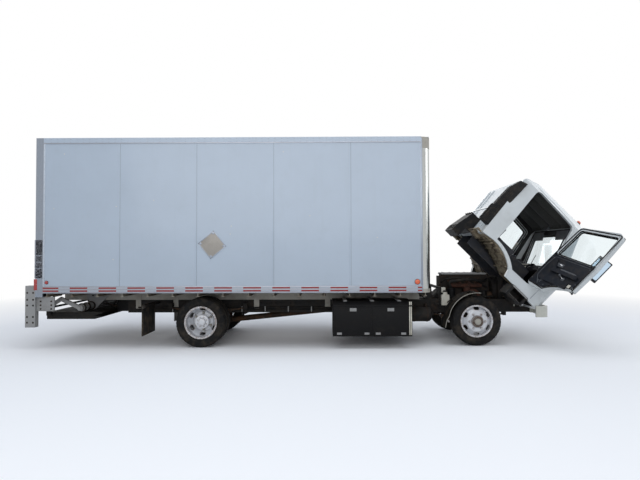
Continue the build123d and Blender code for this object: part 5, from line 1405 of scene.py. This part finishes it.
def arc_points(first, through, last, count):
    """Points of the arc through three points."""
    (ax, az), (bx, bz), (cx, cz) = first, through, last
    d = 2 * (ax * (bz - cz) + bx * (cz - az) + cx * (az - bz))
    a, b, c = ax * ax + az * az, bx * bx + bz * bz, cx * cx + cz * cz
    ux = (a * (bz - cz) + b * (cz - az) + c * (az - bz)) / d
    uz = (a * (cx - bx) + b * (ax - cx) + c * (bx - ax)) / d
    radius = hypot(ax - ux, az - uz)
    start, end = atan2(az - uz, ax - ux), atan2(cz - uz, cx - ux)
    return [(ux + radius * cos(start + (end - start) * step / count),
             uz + radius * sin(start + (end - start) * step / count)) for step in range(count + 1)]


def closed_rounded(corners):
    """Closed outline in X and Z whose corners, given as (x, z, radius), are rounded."""
    points = []
    for index, (x, z, radius) in enumerate(corners):
        before, after = corners[index - 1], corners[(index + 1) % len(corners)]
        if radius:
            path = rounded_path([(before[0], 0, before[1]), (x, 0, z), (after[0], 0, after[1])], radius, 6)
            points += [(point.x, point.z) for point in path[1:-1]]
        else:
            points.append((x, z))
    return points


def inset_outline(points, inset):
    """Closed outline moved inwards along its own normals."""
    area = sum(a[0] * b[1] - b[0] * a[1] for a, b in zip(points, points[1:] + points[:1]))
    turn = 1 if area > 0 else -1
    moved = []
    for index, (x, z) in enumerate(points):
        before, after = points[index - 1], points[(index + 1) % len(points)]
        run = Vector((after[0] - before[0], after[1] - before[1])).normalized()
        moved.append((x - run.y * inset * turn, z + run.x * inset * turn))
    return moved


WHEEL_ARCH = arc_points((-242, 1017), (62, 962), (275, 834), 10)
DOORWAY = closed_rounded([(655, 846, 90), (655, BELT, 0), (524, 2043, 80), (-301, 2101, 80), (-242, 1017, 0)])
DOORWAY += WHEEL_ARCH[1:]
WINDOW = closed_rounded([(588, 1500, 45), (482, 1990, 45), (-240, 2040, 45), (-212, 1500, 45)])


def add_loop(bm, points, side, depth, radius, segments=8, squash=1.0):
    """Closed moulding that follows an outline on the cab's side, at a depth below the skin."""
    rings = []
    for index, (x, z) in enumerate(points):
        before, after = points[index - 1], points[(index + 1) % len(points)]
        run = Vector((after[0] - before[0], 0, after[1] - before[1])).normalized()
        across = Vector((-run.z, 0, run.x))
        centre = Vector((x, side * (skin_y(z) - depth), z))
        rings.append([bm.verts.new(centre + across * radius * cos(angle)
                                   + Vector((0, radius * squash * sin(angle), 0)))
                      for angle in around(segments, 0.5)])
    bridge(bm, rings, closed=True)


def make_doorways():
    """Rubber seals inside the doorways, hemmed edges, gutters, strikers and belts on the rear pillars."""
    rubber, flange, metal, straps = new_meshes(4)
    arch_edge = arc_points((-262, 975), (35, 922), (236, 800), 12)
    lower_edge = [(-480, 946), *arch_edge, (285, 690), (800, 690), (830, 665)]
    gutter = ((-330, 2128), (100, 2116), (520, 2084), (560, 2030), (655, 1640))
    for side in SIDES:
        add_loop(rubber, inset_outline(DOORWAY, -16), side, WALL + 7, 8)
        add_pipe(flange, [(x, side * (skin_y(z) - 7), z) for x, z in lower_edge], 6.5, 8, 10)
        add_pipe(flange, [(x, side * (skin_y(z) + 1), z) for x, z in gutter], 7, 8, 40)
        side_box(metal, (-300, -292), side, (skin_y(1200) - 50, skin_y(1200) - 12), (1150, 1250), 2)
        for z in (1180, 1222):
            add_rod(metal, (-292, side * 970, z), (-270, side * 970, z), 8, 12)
        add_plate(straps, [(-24, 0), (24, 0), (24, 930), (-24, 930)], (-372, side * 905, 1030), AHEAD,
                  (0, -side * 0.03, 1), 3)
        side_box(metal, (-398, -346), side, (896, 920), (1940, 1984), 8)
        side_box(straps, (-410, -340), side, (880, 928), (1000, 1090), 10)
    new_piece("doorway_seals", rubber, seal_rubber, "cab")
    new_piece("cab_flanges", flange, cab_paint, "cab")
    new_piece("door_strikers", metal, chromed, "cab")
    new_piece("seat_belts", straps, seat_edge, "cab")


def make_screen():
    """Windscreen rubber, wipers, visors and the rear-view mirror."""
    rubber, wipers, visors = new_meshes(3)
    centre = SCREEN_BASE + SCREEN_UP * (75 + 410)
    corners = [(-800, -410, 70), (800, -410, 70), (800, 410, 70), (-800, 410, 70)]
    for out, radius in ((-6, 15), (-44, 10)):
        points = [centre + Vector((0, u, 0)) + SCREEN_UP * v + SCREEN_OUT * out for u, v in
                  inset_outline(closed_rounded(corners), 4)]
        add_pipe(rubber, points + points[:2], radius, 8, 1, caps=False)
    reach = 430
    for pivot_y in (-420, 420):
        base = SCREEN_BASE + Vector((0, pivot_y, 0)) + SCREEN_UP * 22 + SCREEN_OUT * 4
        tip = base + SCREEN_UP * 300 + Vector((0, 190, 0)) + SCREEN_OUT * 14
        add_lathe(wipers, ((20, 0), (22, 6), (18, 22), (0, 26)), base, SCREEN_OUT, 20)
        add_pipe(wipers, [base + SCREEN_OUT * 18, base + SCREEN_UP * 80 + SCREEN_OUT * 26, tip], 5, 8, 20)
        run = (SCREEN_UP * 0.92 - Vector((0, 0.38, 0))).normalized()
        add_pipe(wipers, [tip - run * reach * 0.5 - SCREEN_OUT * 8, tip + run * reach * 0.5 - SCREEN_OUT * 8],
                 6, 8, 20)
    for y in (-470, 470):
        head = SCREEN_BASE + SCREEN_UP * 930 - SCREEN_OUT * 105 + Vector((0, y, 0))
        matrix = Matrix.Translation(head) @ Matrix.Rotation(radians(-32), 4, "Y")
        add_box(visors, (-14, -210, -150), (4, 210, 0), 7, matrix)
        add_pipe(visors, [head + Vector((-4, -235, 4)), head + Vector((-4, 235, 4))], 6, 8, 20)
    add_box(visors, (470, -110, 1985), (492, 110, 2055), 9)
    add_rod(visors, (482, 0, 2050), (500, 0, 2125), 8, 12)
    new_piece("screen_rubber", rubber, seal_rubber, "cab")
    new_piece("wipers", wipers, dark_trim, "cab")
    new_piece("visors", visors, grey_trim, "cab")


def make_headliner():
    """Padded lining under the roof with its seams, and padded panels on the rear wall."""
    lining, piping = new_meshes(2)
    columns = 34
    half = 790
    stations = [(-395, 2072), (-330, 2112), (-290, 2124), (480, 2118), (520, 2108), (548, 2080)]
    path = rounded_path([(x, 0, z) for x, z in stations], 60, 4)
    grid = []
    for index, point in enumerate(path):
        row = []
        for column in range(columns + 1):
            y = -half + 2 * half * column / columns
            edge = min(1.0, (half - abs(y)) / 60, (index + 0.3) / 1.5, (len(path) - index - 0.7) / 1.5)
            pillow = abs(sin(pi * (y + half) / (2 * half) * 4)) ** 0.5
            row.append(lining.verts.new((point.x, y, point.z - 4 - 9 * edge * pillow)))
        grid.append(row)
    for first, second in zip(grid, grid[1:]):
        for corners in zip(first, first[1:], second[1:], second):
            lining.faces.new(corners)
    bmesh.ops.solidify(lining, geom=lining.faces[:], thickness=5)
    for y in (-395, 0, 395):
        add_pipe(piping, [(point.x, y, point.z - 7) for point in path], 4, 8, 4)
    for y in (-560, 0, 560):
        for z in (1600, 1880):
            add_box(lining, (-498, y - 250, z - 130), (-478, y + 250, z + 130), 12)
    new_piece("headliner", lining, headliner, "cab")
    new_piece("headliner_piping", piping, seat_edge, "cab")


def make_dash():
    """Instrument hood and dials, vents, glove box, switches, levers, column shroud, pedals and grab handles."""
    black, face, knobs, pedals, dials = new_meshes(5)
    add_box(black, (655, 430, 1318), (860, 850, 1432), 26)
    add_box(face, (648, 452, 1330), (660, 828, 1416), 6)
    for y, radius in ((540, 38), (640, 30), (740, 38)):
        add_lathe(dials, ((radius, 0), (radius + 5, 4), (radius + 5, 9), (radius, 9), (radius - 3, 3), (0, 3)),
                  (650, y, 1372), BACK, 32)
        for step in range(9):
            angle = radians(-35 + 250 * step / 8)
            mark_y, mark_z = y + (radius - 9) * cos(angle), 1372 + (radius - 9) * sin(angle)
            add_box(knobs, (643, mark_y - 1.6, mark_z - 1.6), (647, mark_y + 1.6, mark_z + 1.6), 0.5)
        add_box(knobs, (641, y - 1.8, 1372), (645, y + 1.8, 1372 + radius * 0.7), 0.5)
    for y in (-820, -330, 330, 850):
        add_box(black, (655, y - 62, 1268), (690, y + 62, 1322), 6)
        for z in spaced(1276, 9.5, 5):
            matrix = Matrix.Translation((652, y, z)) @ Matrix.Rotation(0.5, 4, "Y")
            add_box(face, (-8, -56, -1.2), (10, 56, 1.2), 0.6, matrix)
    add_box(black, (668, -700, 1206), (690, -420, 1256), 5)
    add_box(face, (660, -600, 1236), (670, -520, 1248), 3)
    add_box(face, (656, -190, 1212), (680, 190, 1326), 8)
    for y in (-140, -70, 0, 70, 140):
        add_lathe(knobs, ((15, 0), (14, 14), (11, 18), (0, 18)), (656, y, 1240), BACK, 20)
    for y in (-120, -60, 0, 60, 120):
        add_box(knobs, (648, y - 20, 1284), (657, y + 20, 1308), 3)
    add_pipe(black, [(560, 640, 1160), (470, 640, 1292)], 46, 20, 10)
    for side in SIDES:
        add_pipe(knobs, [(480, 640, 1288), (462, 640 + side * 90, 1318), (446, 640 + side * 175, 1336)],
                 6, 10, 20)
    for y, width in ((560, 34), (660, 34), (770, 26)):
        matrix = Matrix.Translation((700, y, 905)) @ Matrix.Rotation(radians(35), 4, "Y")
        add_box(pedals, (-7, -width, -45), (7, width, 45), 5, matrix)
        for z in spaced(-36, 17, 5):
            add_box(pedals, (-12, -width + 4, z), (-6, width - 4, z + 6), 2, matrix)
        add_pipe(pedals, [(706, y, 910), (760, y, 1010), (760, y, 1196)], 8, 10, 40)
    add_lathe(black, ((62, 0), (58, 10), (40, 26), (44, 38), (28, 54), (30, 64), (15, 82), (0, 84)),
              (330, 150, 1190), (0.15, 0.1, 1), 24)
    add_pipe(knobs, [(340, 156, 1250), (352, 176, 1400), (346, 190, 1500)], 8, 12, 40)
    add_lathe(knobs, ((0, 0), (18, 6), (25, 24), (22, 42), (0, 50)), (346, 190, 1496), UP, 20)
    add_pipe(knobs, [(40, 290, 1190), (150, 300, 1260), (250, 302, 1300)], 11, 12, 40)
    for side in SIDES:
        handle = ((655, 890, 1560), (640, 874, 1580), (560, 856, 1840), (556, 866, 1870))
        add_pipe(black, on_side(side, handle), 13, 12, 26)
    new_piece("dash_mouldings", black, dash_plastic, "cab")
    new_piece("dash_faces", face, dark_trim, "cab")
    new_piece("dash_dials", dials, chromed, "cab")
    new_piece("dash_controls", knobs, white_plastic, "cab")
    new_piece("pedals", pedals, seal_rubber, "cab")


def make_cab_floor_details():
    """Ribbed rubber mats, engine-cover catches and seams, and the dirty ribs and brackets below the floor."""
    mats, ribs, hoses, catches = new_meshes(4)
    thick_hose = ((-560, 300, 960), (-300, 372, 925), (60, 378, 880), (300, 372, 770), (700, 380, 745),
                  (900, 300, 740))
    thin_hose = ((-540, 500, 930), (-250, 470, 900), (120, 450, 840), (330, 440, 745), (800, 470, 740))
    for side in SIDES:
        side_box(mats, (330, 900), side, (362, 925), (800, 808), 3)
        for x in spaced(352, 30, 18):
            side_box(mats, (x, x + 10), side, (380, 905), (807, 812))
        for x in spaced(380, 150, 4):
            side_box(ribs, (x - 22, x + 22), side, (362, 930), (757, 776), 5)
        for y in (440, 700, 880):
            side_box(ribs, (320, 960), side, (y - 20, y + 20), (754, 776), 5)
            side_box(ribs, (-580, -270), side, (y - 20, y + 20), (940, 963), 5)
        for x in (-560, -420, -300):
            side_box(ribs, (x - 18, x + 18), side, (362, 930), (938, 963), 5)
        for x, z in WHEEL_ARCH[0:10:2]:
            side_box(ribs, (x - 14, x + 14), side, (380, 930), (z - 96, z - 68), 6)
        side_box(ribs, (-560, -400), side, (560, 700), (880, 945), 14)
        add_pipe(hoses, on_side(side, thick_hose), 13, 10, 60)
        add_pipe(hoses, on_side(side, thin_hose), 9, 10, 60)
        for x in (-300, 200):
            side_box(catches, (x - 26, x + 26), side, (338, 356), (1010, 1070), 5)
            add_bolt(catches, (x, side * 356, 1052), (0, side, 0), 7)
    add_box(ribs, (860, -640, 730), (940, 640, 775), 10)
    for x in (-200, 100, 400):
        add_box(catches, (x - 5, -300, 1189), (x + 5, 300, 1193.5), 2)
    new_piece("floor_mats", mats, seal_rubber, "cab")
    new_piece("floor_ribs", ribs, floor_pan, "cab")
    new_piece("cab_hoses", hoses, seal_rubber, "cab")
    new_piece("cover_catches", catches, grey_trim, "cab")


def rear_wall_x(z):
    """X of the cab's sloping rear wall at a height."""
    return -495 - (z - 940) * 0.0965


def make_cab_outside():
    """Roof lamps, rear-wall beads, duct ribs, step treads, front panel lines and turn signals."""
    lamps, bases, beads, ribs, treads, lines = new_meshes(6)
    for y in (-800, -210, 0, 210, 800):
        place, depth = ((566, y, 2180), 40) if abs(y) < 600 else ((566, y, 2168), 66)
        add_lamp(bases, lamps, place, UP, 36, depth)
    for y in (-640, -420, 420, 640):
        for low, high in ((1000, 1500), (1560, 2000)):
            add_pipe(beads, [(rear_wall_x(low) - 1, y, low), (rear_wall_x(high) - 1, y, high)], 11, 10, 10)
    for z in (1280, 1540):
        add_pipe(beads, [(rear_wall_x(z) - 2, y, z) for y in (-300, 760)], 11, 10, 10)
    for z in spaced(1130, 42, 7):
        x = -666 - (z - 1090) * 0.029
        side_box(ribs, (x - 4, x + 12), -1, (858, 972), (z, z + 14), 3)
    for y in spaced(-872, -22, 5):
        add_pipe(ribs, [(-672, y, 1100), (-689, y, 1400)], 5, 8, 10)
    for index, x in enumerate(spaced(-650, 28, 4)):
        add_pipe(ribs, [(x, -986, 1105), (x - 14 + index * 3, -986, 1770)], 6, 8, 10)
    add_box(ribs, (-700, -240, 980), (-690, 240, 1180), 4)
    for y in (-180, -60, 60, 180):
        add_box(ribs, (-772, y - 14, 800), (-750, y + 14, 900), 5)
        add_box(ribs, (-720, y - 12, 1236), (-500, y + 12, 1262), 5)
    for side in SIDES:
        for x in spaced(516, 26, 9):
            side_box(treads, (x, x + 12), side, (770, 962), (538, 544))
        side_box(treads, (505, 757), side, (768, 964), (533, 540), 2)
        side_box(treads, (474, 786), side, (962, 968), (664, 684), 2)
        side_box(lines, (800, 806), side, (skin_y(1100) - 3, skin_y(1100) + 1.5), (700, 1225), 0.6)
        side_box(lamps, (690, 770), side, (skin_y(1120) - 4, skin_y(1120) + 16), (1105, 1145), 8)
        side_box(lamps, (1002, 1012), side, (880, 930), (705, 830), 5)
    new_piece("roof_lamps", lamps, orange_lens, "cab")
    new_piece("roof_lamp_bases", bases, seal_rubber, "cab")
    new_piece("rear_beads", beads, cab_paint, "cab")
    new_piece("duct_ribs", ribs, duct_plastic, "cab")
    new_piece("step_treads", treads, grey_steel, "cab")
    new_piece("panel_lines", lines, joint_line, body="cab")


def make_front():
    """Grille frame and slats, headlamp bowls and rims, bumper lamps, tow hooks and a bare plate."""
    slats, bowls, plate, hooks, lamps = new_meshes(5)
    for z in spaced(884, 48.6, 6):
        add_box(slats, (1034, -508, z), (1048, 508, z + 5), 2)
    for y in (-514, 0, 514):
        add_box(slats, (1036, y - 6, 884), (1050, y + 6, 1126), 2)
    hook = ((1000, 392, 560), (1090, 392, 556), (1128, 392, 520), (1100, 392, 484), (1058, 392, 500))
    for side in SIDES:
        for y in (640, 785):
            place = (1002, side * y, 770)
            add_lathe(bowls, ((58, 30), (61, 36), (61, 40), (54, 40), (46, 22), (28, 8), (0, 4)), place,
                      AHEAD, 36)
            add_lathe(bowls, ((0, 26), (10, 24), (12, 10)), place, AHEAD, 16)
        side_box(lamps, (1146, 1152), side, (640, 820), (520, 570), 4)
        add_pipe(hooks, on_side(side, hook), 13, 12, 40)
    add_box(plate, (1150, -155, 530), (1155, 155, 640), 3)
    for y in (-120, 120):
        add_bolt(plate, (1155, y, 622), AHEAD, 6, washer=False)
    new_piece("grille_slats", slats, dark_trim, "cab")
    new_piece("lamp_bowls", bowls, chromed, "cab")
    new_piece("bumper_lamps", lamps, clear_lens)
    new_piece("tow_hooks", hooks, casting)
    new_piece("front_plate", plate, placard_grey)


# Seats
PAD_VOXEL = 0.012
PAD_RISE = 15
SEAM_REACH = 70
CHANNEL_DEPTH = 6
PUFF_FRAMES = 20


def settled(piece):
    """Mesh of a piece with its modifiers worked out."""
    return bpy.data.meshes.new_from_object(piece.evaluated_get(bpy.context.evaluated_depsgraph_get()))


def puffed_places(piece):
    """Where the points of a pad come to rest as cloth under air pressure."""
    cloth = piece.modifiers.new("puff", "CLOTH")
    cloth.settings.use_pressure = True
    cloth.settings.uniform_pressure_force = 4
    cloth.settings.effector_weights.gravity = 0
    for number in range(1, PUFF_FRAMES + 1):
        bpy.context.scene.frame_set(number)
    mesh = settled(piece)
    places = [vertex.co.copy() for vertex in mesh.vertices]
    bpy.data.meshes.remove(mesh)
    piece.modifiers.remove(cloth)
    bpy.context.scene.frame_set(1)
    return places


def make_pad(name, matrix, size, radius, channels, piping, finish):
    """Stuffed pad about the middle of its own box: face towards +Z, back flat, sewn round the face."""
    half = Vector(size) / 2
    block = bmesh.new()
    add_box(block, -half, half)
    bmesh.ops.remove_doubles(block, verts=block.verts, dist=0.01)
    bmesh.ops.bevel(block, geom=block.edges[:], offset=radius, segments=5, profile=0.5, affect="EDGES")
    bmesh.ops.scale(block, vec=(MM, MM, MM), verts=block.verts)
    mesh = bpy.data.meshes.new(name)
    block.to_mesh(mesh)
    block.free()
    piece = new_object(name, mesh)
    remesh = piece.modifiers.new("remesh", "REMESH")
    remesh.mode = "VOXEL"
    remesh.voxel_size = PAD_VOXEL
    piece.data = settled(piece)
    piece.modifiers.remove(remesh)

    inset = 0.29 * radius
    seam_z = half.z - inset
    seam_x, seam_y = half.x - inset, half.y - inset
    corners = [(u * seam_x, v * seam_y, radius) for u, v in ((1, 1), (-1, 1), (-1, -1), (1, -1))]
    ring = [Vector((x, y, seam_z)) for x, y in closed_rounded(corners)]
    dense = [first.lerp(second, step / 8) for first, second in zip(ring, ring[1:] + ring[:1])
             for step in range(8)]
    tree = kdtree.KDTree(len(dense))
    for index, point in enumerate(dense):
        tree.insert(point, index)
    tree.balance()
    for vertex, place in zip(piece.data.vertices, puffed_places(piece)):
        start = vertex.co / MM
        shift = (place - vertex.co) / MM
        if shift.length > PAD_RISE:
            shift *= PAD_RISE / shift.length
        seam = tree.find(start)[2]
        groove = 0.0
        if start.z > 0:
            for line in channels:
                across = abs(start.x - line)
                seam = min(seam, across)
                groove = max(groove, 1 - across / 14)
        free = min(1.0, seam / SEAM_REACH)
        free = free * (2 - free)
        if start.z < -half.z + 6:
            free = 0.0
        start += shift * free
        start.z -= CHANNEL_DEPTH * groove
        vertex.co = start * MM
    smoother = piece.modifiers.new("smoother", "SUBSURF")
    smoother.levels = smoother.render_levels = 1
    piece.data = settled(piece)
    piece.modifiers.remove(smoother)
    piece.data.transform(place_of("cab") @ (matrix @ Matrix.Scale(1 / MM, 4)))
    piece.data.materials.clear()
    piece.data.materials.append(finish)
    piece.data.polygons.foreach_set("use_smooth", [True] * len(piece.data.polygons))
    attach(piece, "cab")
    add_pipe(piping, [matrix @ point for point in ring + ring[:2]], 4.5, 8, 8, caps=False)
    return piece


def make_seats():
    """Two outer seats and a middle one, each with a cushion, a back and a headrest on two posts."""
    piping, posts = new_meshes(2)
    for name, y, width, front, base, top in (("right", -640, 500, 170, 987.3, 1117.3),
                                             ("left", 640, 500, 170, 987.3, 1117.3),
                                             ("middle", 0, 560, 60, 1190.3, 1250.3)):
        thick = top - base
        radius = 34 if thick > 100 else 20
        length = front + 310
        cushion = Matrix.Translation((front - 12 - length / 2, y, base + (thick - PAD_RISE) / 2))
        cushion @= Matrix.Rotation(-pi / 2, 4, "Z")
        channels = (-(width / 2 - 95), width / 2 - 95)
        make_pad(f"seat_cushion_{name}", cushion, (width - 24, length, thick - PAD_RISE), radius,
                             channels, piping, seat_cloth)
        foot = Vector((-318 if thick > 100 else -326, y, top + 14))
        head = Vector((-366, y, 1610))
        up = (head - foot).normalized()
        face = Vector(LEFT).cross(up)
        basis = Matrix((Vector(LEFT), -up, face)).transposed().to_4x4()
        back = Matrix.Translation((foot + head) / 2) @ basis
        make_pad(f"seat_back_{name}", back, (width - 24, (head - foot).length, 76), 28, channels,
                             piping, seat_cloth)
        rest = Matrix.Translation(head + up * 100) @ basis
        make_pad(f"headrest_{name}", rest, (250, 130, 62), 26, (), piping, seat_cloth)
        for shift in (-55, 55):
            start = head + Vector((0, shift, 0))
            add_rod(posts, start - up * 40, start + up * 60, 7, 12)
    new_piece("seat_piping", piping, seat_edge, "cab")
    new_piece("headrest_posts", posts, chromed, "cab")
    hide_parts("seats")


# Doors
def make_doors():
    """Seals, window channels, latches, handles, trim fittings, labels and mirror faces of both doors."""
    for side, name in SIDE_NAMES.items():
        rubber, metal, plate, paint, trim, glassy = new_meshes(6)
        add_loop(rubber, inset_outline(DOORWAY, 26), side, WALL + 7, 9, squash=0.9)
        add_loop(rubber, inset_outline(DOORWAY, 12), side, 3, 4.5, squash=0.8)
        for depth, radius in ((12, 11), (50, 10)):
            add_loop(rubber, inset_outline(WINDOW, 5), side, depth, radius)
        side_box(rubber, (-215, 590), side, (skin_y(1492) - 4, skin_y(1492) + 5), (1478, 1500), 3)
        lower = inset_outline(DOORWAY, 17)[-11:]
        add_pipe(rubber, [(x, side * (skin_y(z) - 42), z) for x, z in lower], 9, 10, 20)
        jamb = -240
        latch_y, handle_y, inner = skin_y(1200), skin_y(1400), 915
        side_box(metal, (jamb - 3, jamb + 34), side, (latch_y - 56, latch_y - 8), (1130, 1262), 4)
        for z in (1150, 1242):
            add_bolt(metal, (jamb - 3, side * (latch_y - 32), z), BACK, 7, washer=False)
        side_box(metal, (jamb - 5, jamb + 4), side, (latch_y - 42, latch_y - 22), (1172, 1220), 2)
        side_box(paint, (-190, -30), side, (handle_y - 2, handle_y + 7), (1368, 1436), 10)
        side_box(paint, (-176, -44), side, (handle_y + 16, handle_y + 30), (1386, 1416), 9)
        for x in (-168, -52):
            side_box(paint, (x - 10, x + 10), side, (handle_y, handle_y + 24), (1388, 1414), 5)
        add_lathe(metal, ((13, 0), (13, 4), (9, 6), (0, 6)), (0, side * (handle_y + 1), 1402), (0, side, 0), 20)
        side_box(trim, (240, 380), side, (inner - 14, inner + 4), (1290, 1352), 9)
        pull = ((262, inner - 10, 1322), (290, inner - 24, 1322), (352, inner - 26, 1322))
        add_pipe(metal, on_side(side, pull), 8, 12, 14)
        inward = (0, -side, 0)
        add_lathe(trim, ((30, 0), (30, 6), (24, 12), (0, 14)), (60, side * inner, 1120), inward, 28)
        crank = ((60, inner - 14, 1120), (60, inner - 20, 1120), (130, inner - 22, 1152))
        add_pipe(metal, on_side(side, crank), 7, 12, 8)
        add_lathe(trim, ((0, 0), (14, 2), (16, 16), (12, 30), (0, 32)), (132, side * (inner - 18), 1153),
                  inward, 20)
        for z in spaced(942, 17, 9):
            for x in spaced(362, 17, 9):
                if hypot(x - 430, z - 1010) < 72:
                    add_lathe(metal, ((5, 0), (4, 2.5), (0, 3)), (x, side * (skin_y(1000) - 82), z), inward, 8)
        armrest = ((-120, inner - 4, 1232), (-100, inner - 34, 1240), (190, inner - 34, 1242),
                   (215, inner - 4, 1236))
        add_pipe(trim, on_side(side, armrest), 15, 12, 26)
        seam = ((-190, 1440), (540, 1440), (560, 1300), (560, 1050), (420, 900))
        add_pipe(trim, [(x, side * (skin_y(z) - 83), z) for x, z in seam], 4, 8, 40)
        for x, z in ((-200, 1120), (-206, 1420), (180, 1440), (590, 1420), (600, 960), (-190, 1060),
                     (300, 920)):
            add_lathe(trim, ((9, 0), (9, 3), (5, 6), (0, 6)), (x, side * (skin_y(z) - 82), z), inward, 16)
        side_box(plate, (-150, -62), side, (skin_y(1040) - 85, skin_y(1040) - 82), (1030, 1082), 1)
        add_pipe(rubber, [(x, side * (skin_y(1488) - 88), 1488) for x in (-200, 580)], 9, 8, 10)
        centre = Vector((190, side * 1360, 1690))
        along = Vector((-390, side * 420, 0)).normalized()
        facing = Vector((-420, -side * 390, 0)).normalized()
        outline = closed_rounded([(u * 98, v * 176, 26) for u, v in ((-1, -1), (1, -1), (1, 1), (-1, 1))])
        add_plate(glassy, outline, centre + facing * 41, along, UP, 3, 1)
        rim = [centre + along * u + Vector((0, 0, v)) + facing * 40 for u, v in outline]
        add_pipe(trim, rim + rim[:2], 6, 8, 1, caps=False)
        for z in (1150, 1285):
            for x in (538, 577):
                add_bolt(metal, (x, side * 1030, z), (0, side, 0), 8)
        for z in (1560, 1820):
            side_box(trim, (180, 224), side, (1336, 1372), (z - 16, z + 16), 6)
        body = f"door_{name}"
        new_piece(f"door_rubber_{name}", rubber, seal_rubber, body)
        new_piece(f"door_metal_{name}", metal, chromed, body)
        new_piece(f"door_handle_{name}", paint, white_plastic, body)
        new_piece(f"door_fittings_{name}", trim, grey_trim, body)
        new_piece(f"door_label_{name}", plate, white_plastic, body)
        new_piece(f"mirror_glass_{name}", glassy, mirror_reflection_tint, body)


for make in (
    make_side_seams, make_rail_rivets, make_rail_lips, make_tape, make_front_corners, make_marker_lamps,
    make_placard, make_glint_domes, make_tyres, make_wheel_fittings, make_frame_fittings,
    make_locker_details, make_tank_details, make_axle_fittings, make_exhaust_details, make_flap_details,
    make_mudguards, make_post_hardware, make_step_posts, make_lift_details, make_roll_door_details,
    make_engine_top, make_engine_side, make_engine_front, make_bay_fittings, make_gearbox_details,
    make_doorways, make_screen, make_headliner, make_dash, make_cab_floor_details, make_seats,
    make_cab_outside, make_front, make_doors,
):
    make()


# Floor, lights and camera
FOCAL_PIXELS = 500
PICTURE_WIDTH = 640
CAMERA_PLACE = (-2471, -9097, 1548)
CAMERA_YAW = -0.52
CAMERA_PITCH = 1.26
CAMERA_ROLL = -0.17


def seen_ray(tree):
    """Value 1 for what the camera sees, directly or in metal and glass."""
    rays = make_node(tree, "LightPath").outputs
    glassy = greater(tree, rays["Is Glossy Ray"], rays["Is Transmission Ray"])
    return greater(tree, rays["Is Camera Ray"], glassy)


def make_floor():
    """Pale floor that runs out into white behind the truck and keeps the truck's shadow."""
    size = 90.0
    mesh = bpy.data.meshes.new("floor")
    corners = [(-size, -size, 0), (size, -size, 0), (size, size, 0), (-size, size, 0)]
    mesh.from_pydata(corners, [], [(0, 1, 2, 3)])
    floor = new_object("floor", mesh)
    material, tree, shader = new_material("floor")
    vector = coordinates(tree)
    seen = seen_ray(tree)
    colour = mix(tree, patches(tree, vector, 0.6, 0.3, 0.7, 6), srgb(222, 222, 221), srgb(216, 216, 215))
    feed(tree, shader, {"Base Color": mix(tree, seen, colour, (1, 1, 1)), "Roughness": 0.9,
                        "Specular IOR Level": 0.0})
    reach = make_node(tree, "VectorMath", {0: vector}, operation="LENGTH").outputs["Value"]
    white = make_node(tree, "Emission").outputs["Emission"]
    choose = make_node(tree, "MixShader", {"Fac": multiply(tree, ramp(tree, reach, 6.5, 13.0), seen),
                                           1: shader.outputs["BSDF"], 2: white})
    feed(tree, tree.nodes["Material Output"], {"Surface": choose.outputs["Shader"]})
    mesh.materials.append(material)


def make_world():
    """Soft sky that lights the truck and shows plain white to the camera, glass and metal."""
    world = bpy.data.worlds.new("studio")
    bpy.context.scene.world = world
    world.use_nodes = True
    tree = world.node_tree
    sky = tree.nodes["Background"]
    feed(tree, sky, {"Color": (0.80, 0.87, 1.0), "Strength": 0.47})
    shown = make_node(tree, "Background", {"Color": (1, 1, 1), "Strength": 1.0})
    choose = make_node(tree, "MixShader", {"Fac": seen_ray(tree), 1: sky.outputs["Background"],
                                           2: shown.outputs["Background"]})
    feed(tree, tree.nodes["World Output"], {"Surface": choose.outputs["Shader"]})


def make_light(name, place, target, size, watts, colour=(1, 1, 1)):
    """Area light in metres, turned towards its target."""
    data = bpy.data.lights.new(name, "AREA")
    data.shape = "RECTANGLE"
    data.size, data.size_y = size
    data.energy = watts
    data.color = colour
    light = new_object(name, data)
    light.location = place
    light.rotation_euler = (Vector(target) - Vector(place)).to_track_quat("-Z", "Y").to_euler()


def make_camera():
    """Camera where the photograph was taken from."""
    data = bpy.data.cameras.new("camera")
    data.sensor_width = 36
    data.lens = 36 * FOCAL_PIXELS / PICTURE_WIDTH
    camera = new_object("camera", data)
    yaw, pitch, roll = radians(CAMERA_YAW), radians(CAMERA_PITCH), radians(CAMERA_ROLL)
    ahead = Vector((sin(yaw), cos(yaw), 0))
    right = Vector((cos(yaw), -sin(yaw), 0))
    level_up = Vector(UP)
    forward = ahead * cos(pitch) + level_up * sin(pitch)
    lifted = level_up * cos(pitch) - ahead * sin(pitch)
    right_axis = right * cos(roll) + lifted * sin(roll)
    up_axis = lifted * cos(roll) - right * sin(roll)
    basis = Matrix((right_axis, up_axis, -forward)).transposed().to_4x4()
    camera.matrix_world = Matrix.Translation(TRUCK @ Vector(CAMERA_PLACE)) @ basis
    data.clip_end = 200
    bpy.context.scene.camera = camera


make_floor()
make_world()
make_light("sky_panel", (0, -3, 12), (0, 0, 1), (14, 9), 440, (0.92, 0.96, 1.0))
make_light("right_fill", (-1, -12, 5), (0, 0, 1.6), (12, 6), 450)
make_light("left_fill", (0, 12, 6), (0, 0, 1.6), (12, 6), 320)
make_light("rear_fill", (-13, 0, 5), (0, 0, 1.6), (6, 6), 130)
make_light("front_fill", (13, -2, 6), (0, 0, 1.6), (6, 6), 245)
make_camera()
bpy.context.scene.view_settings.view_transform = "Standard"
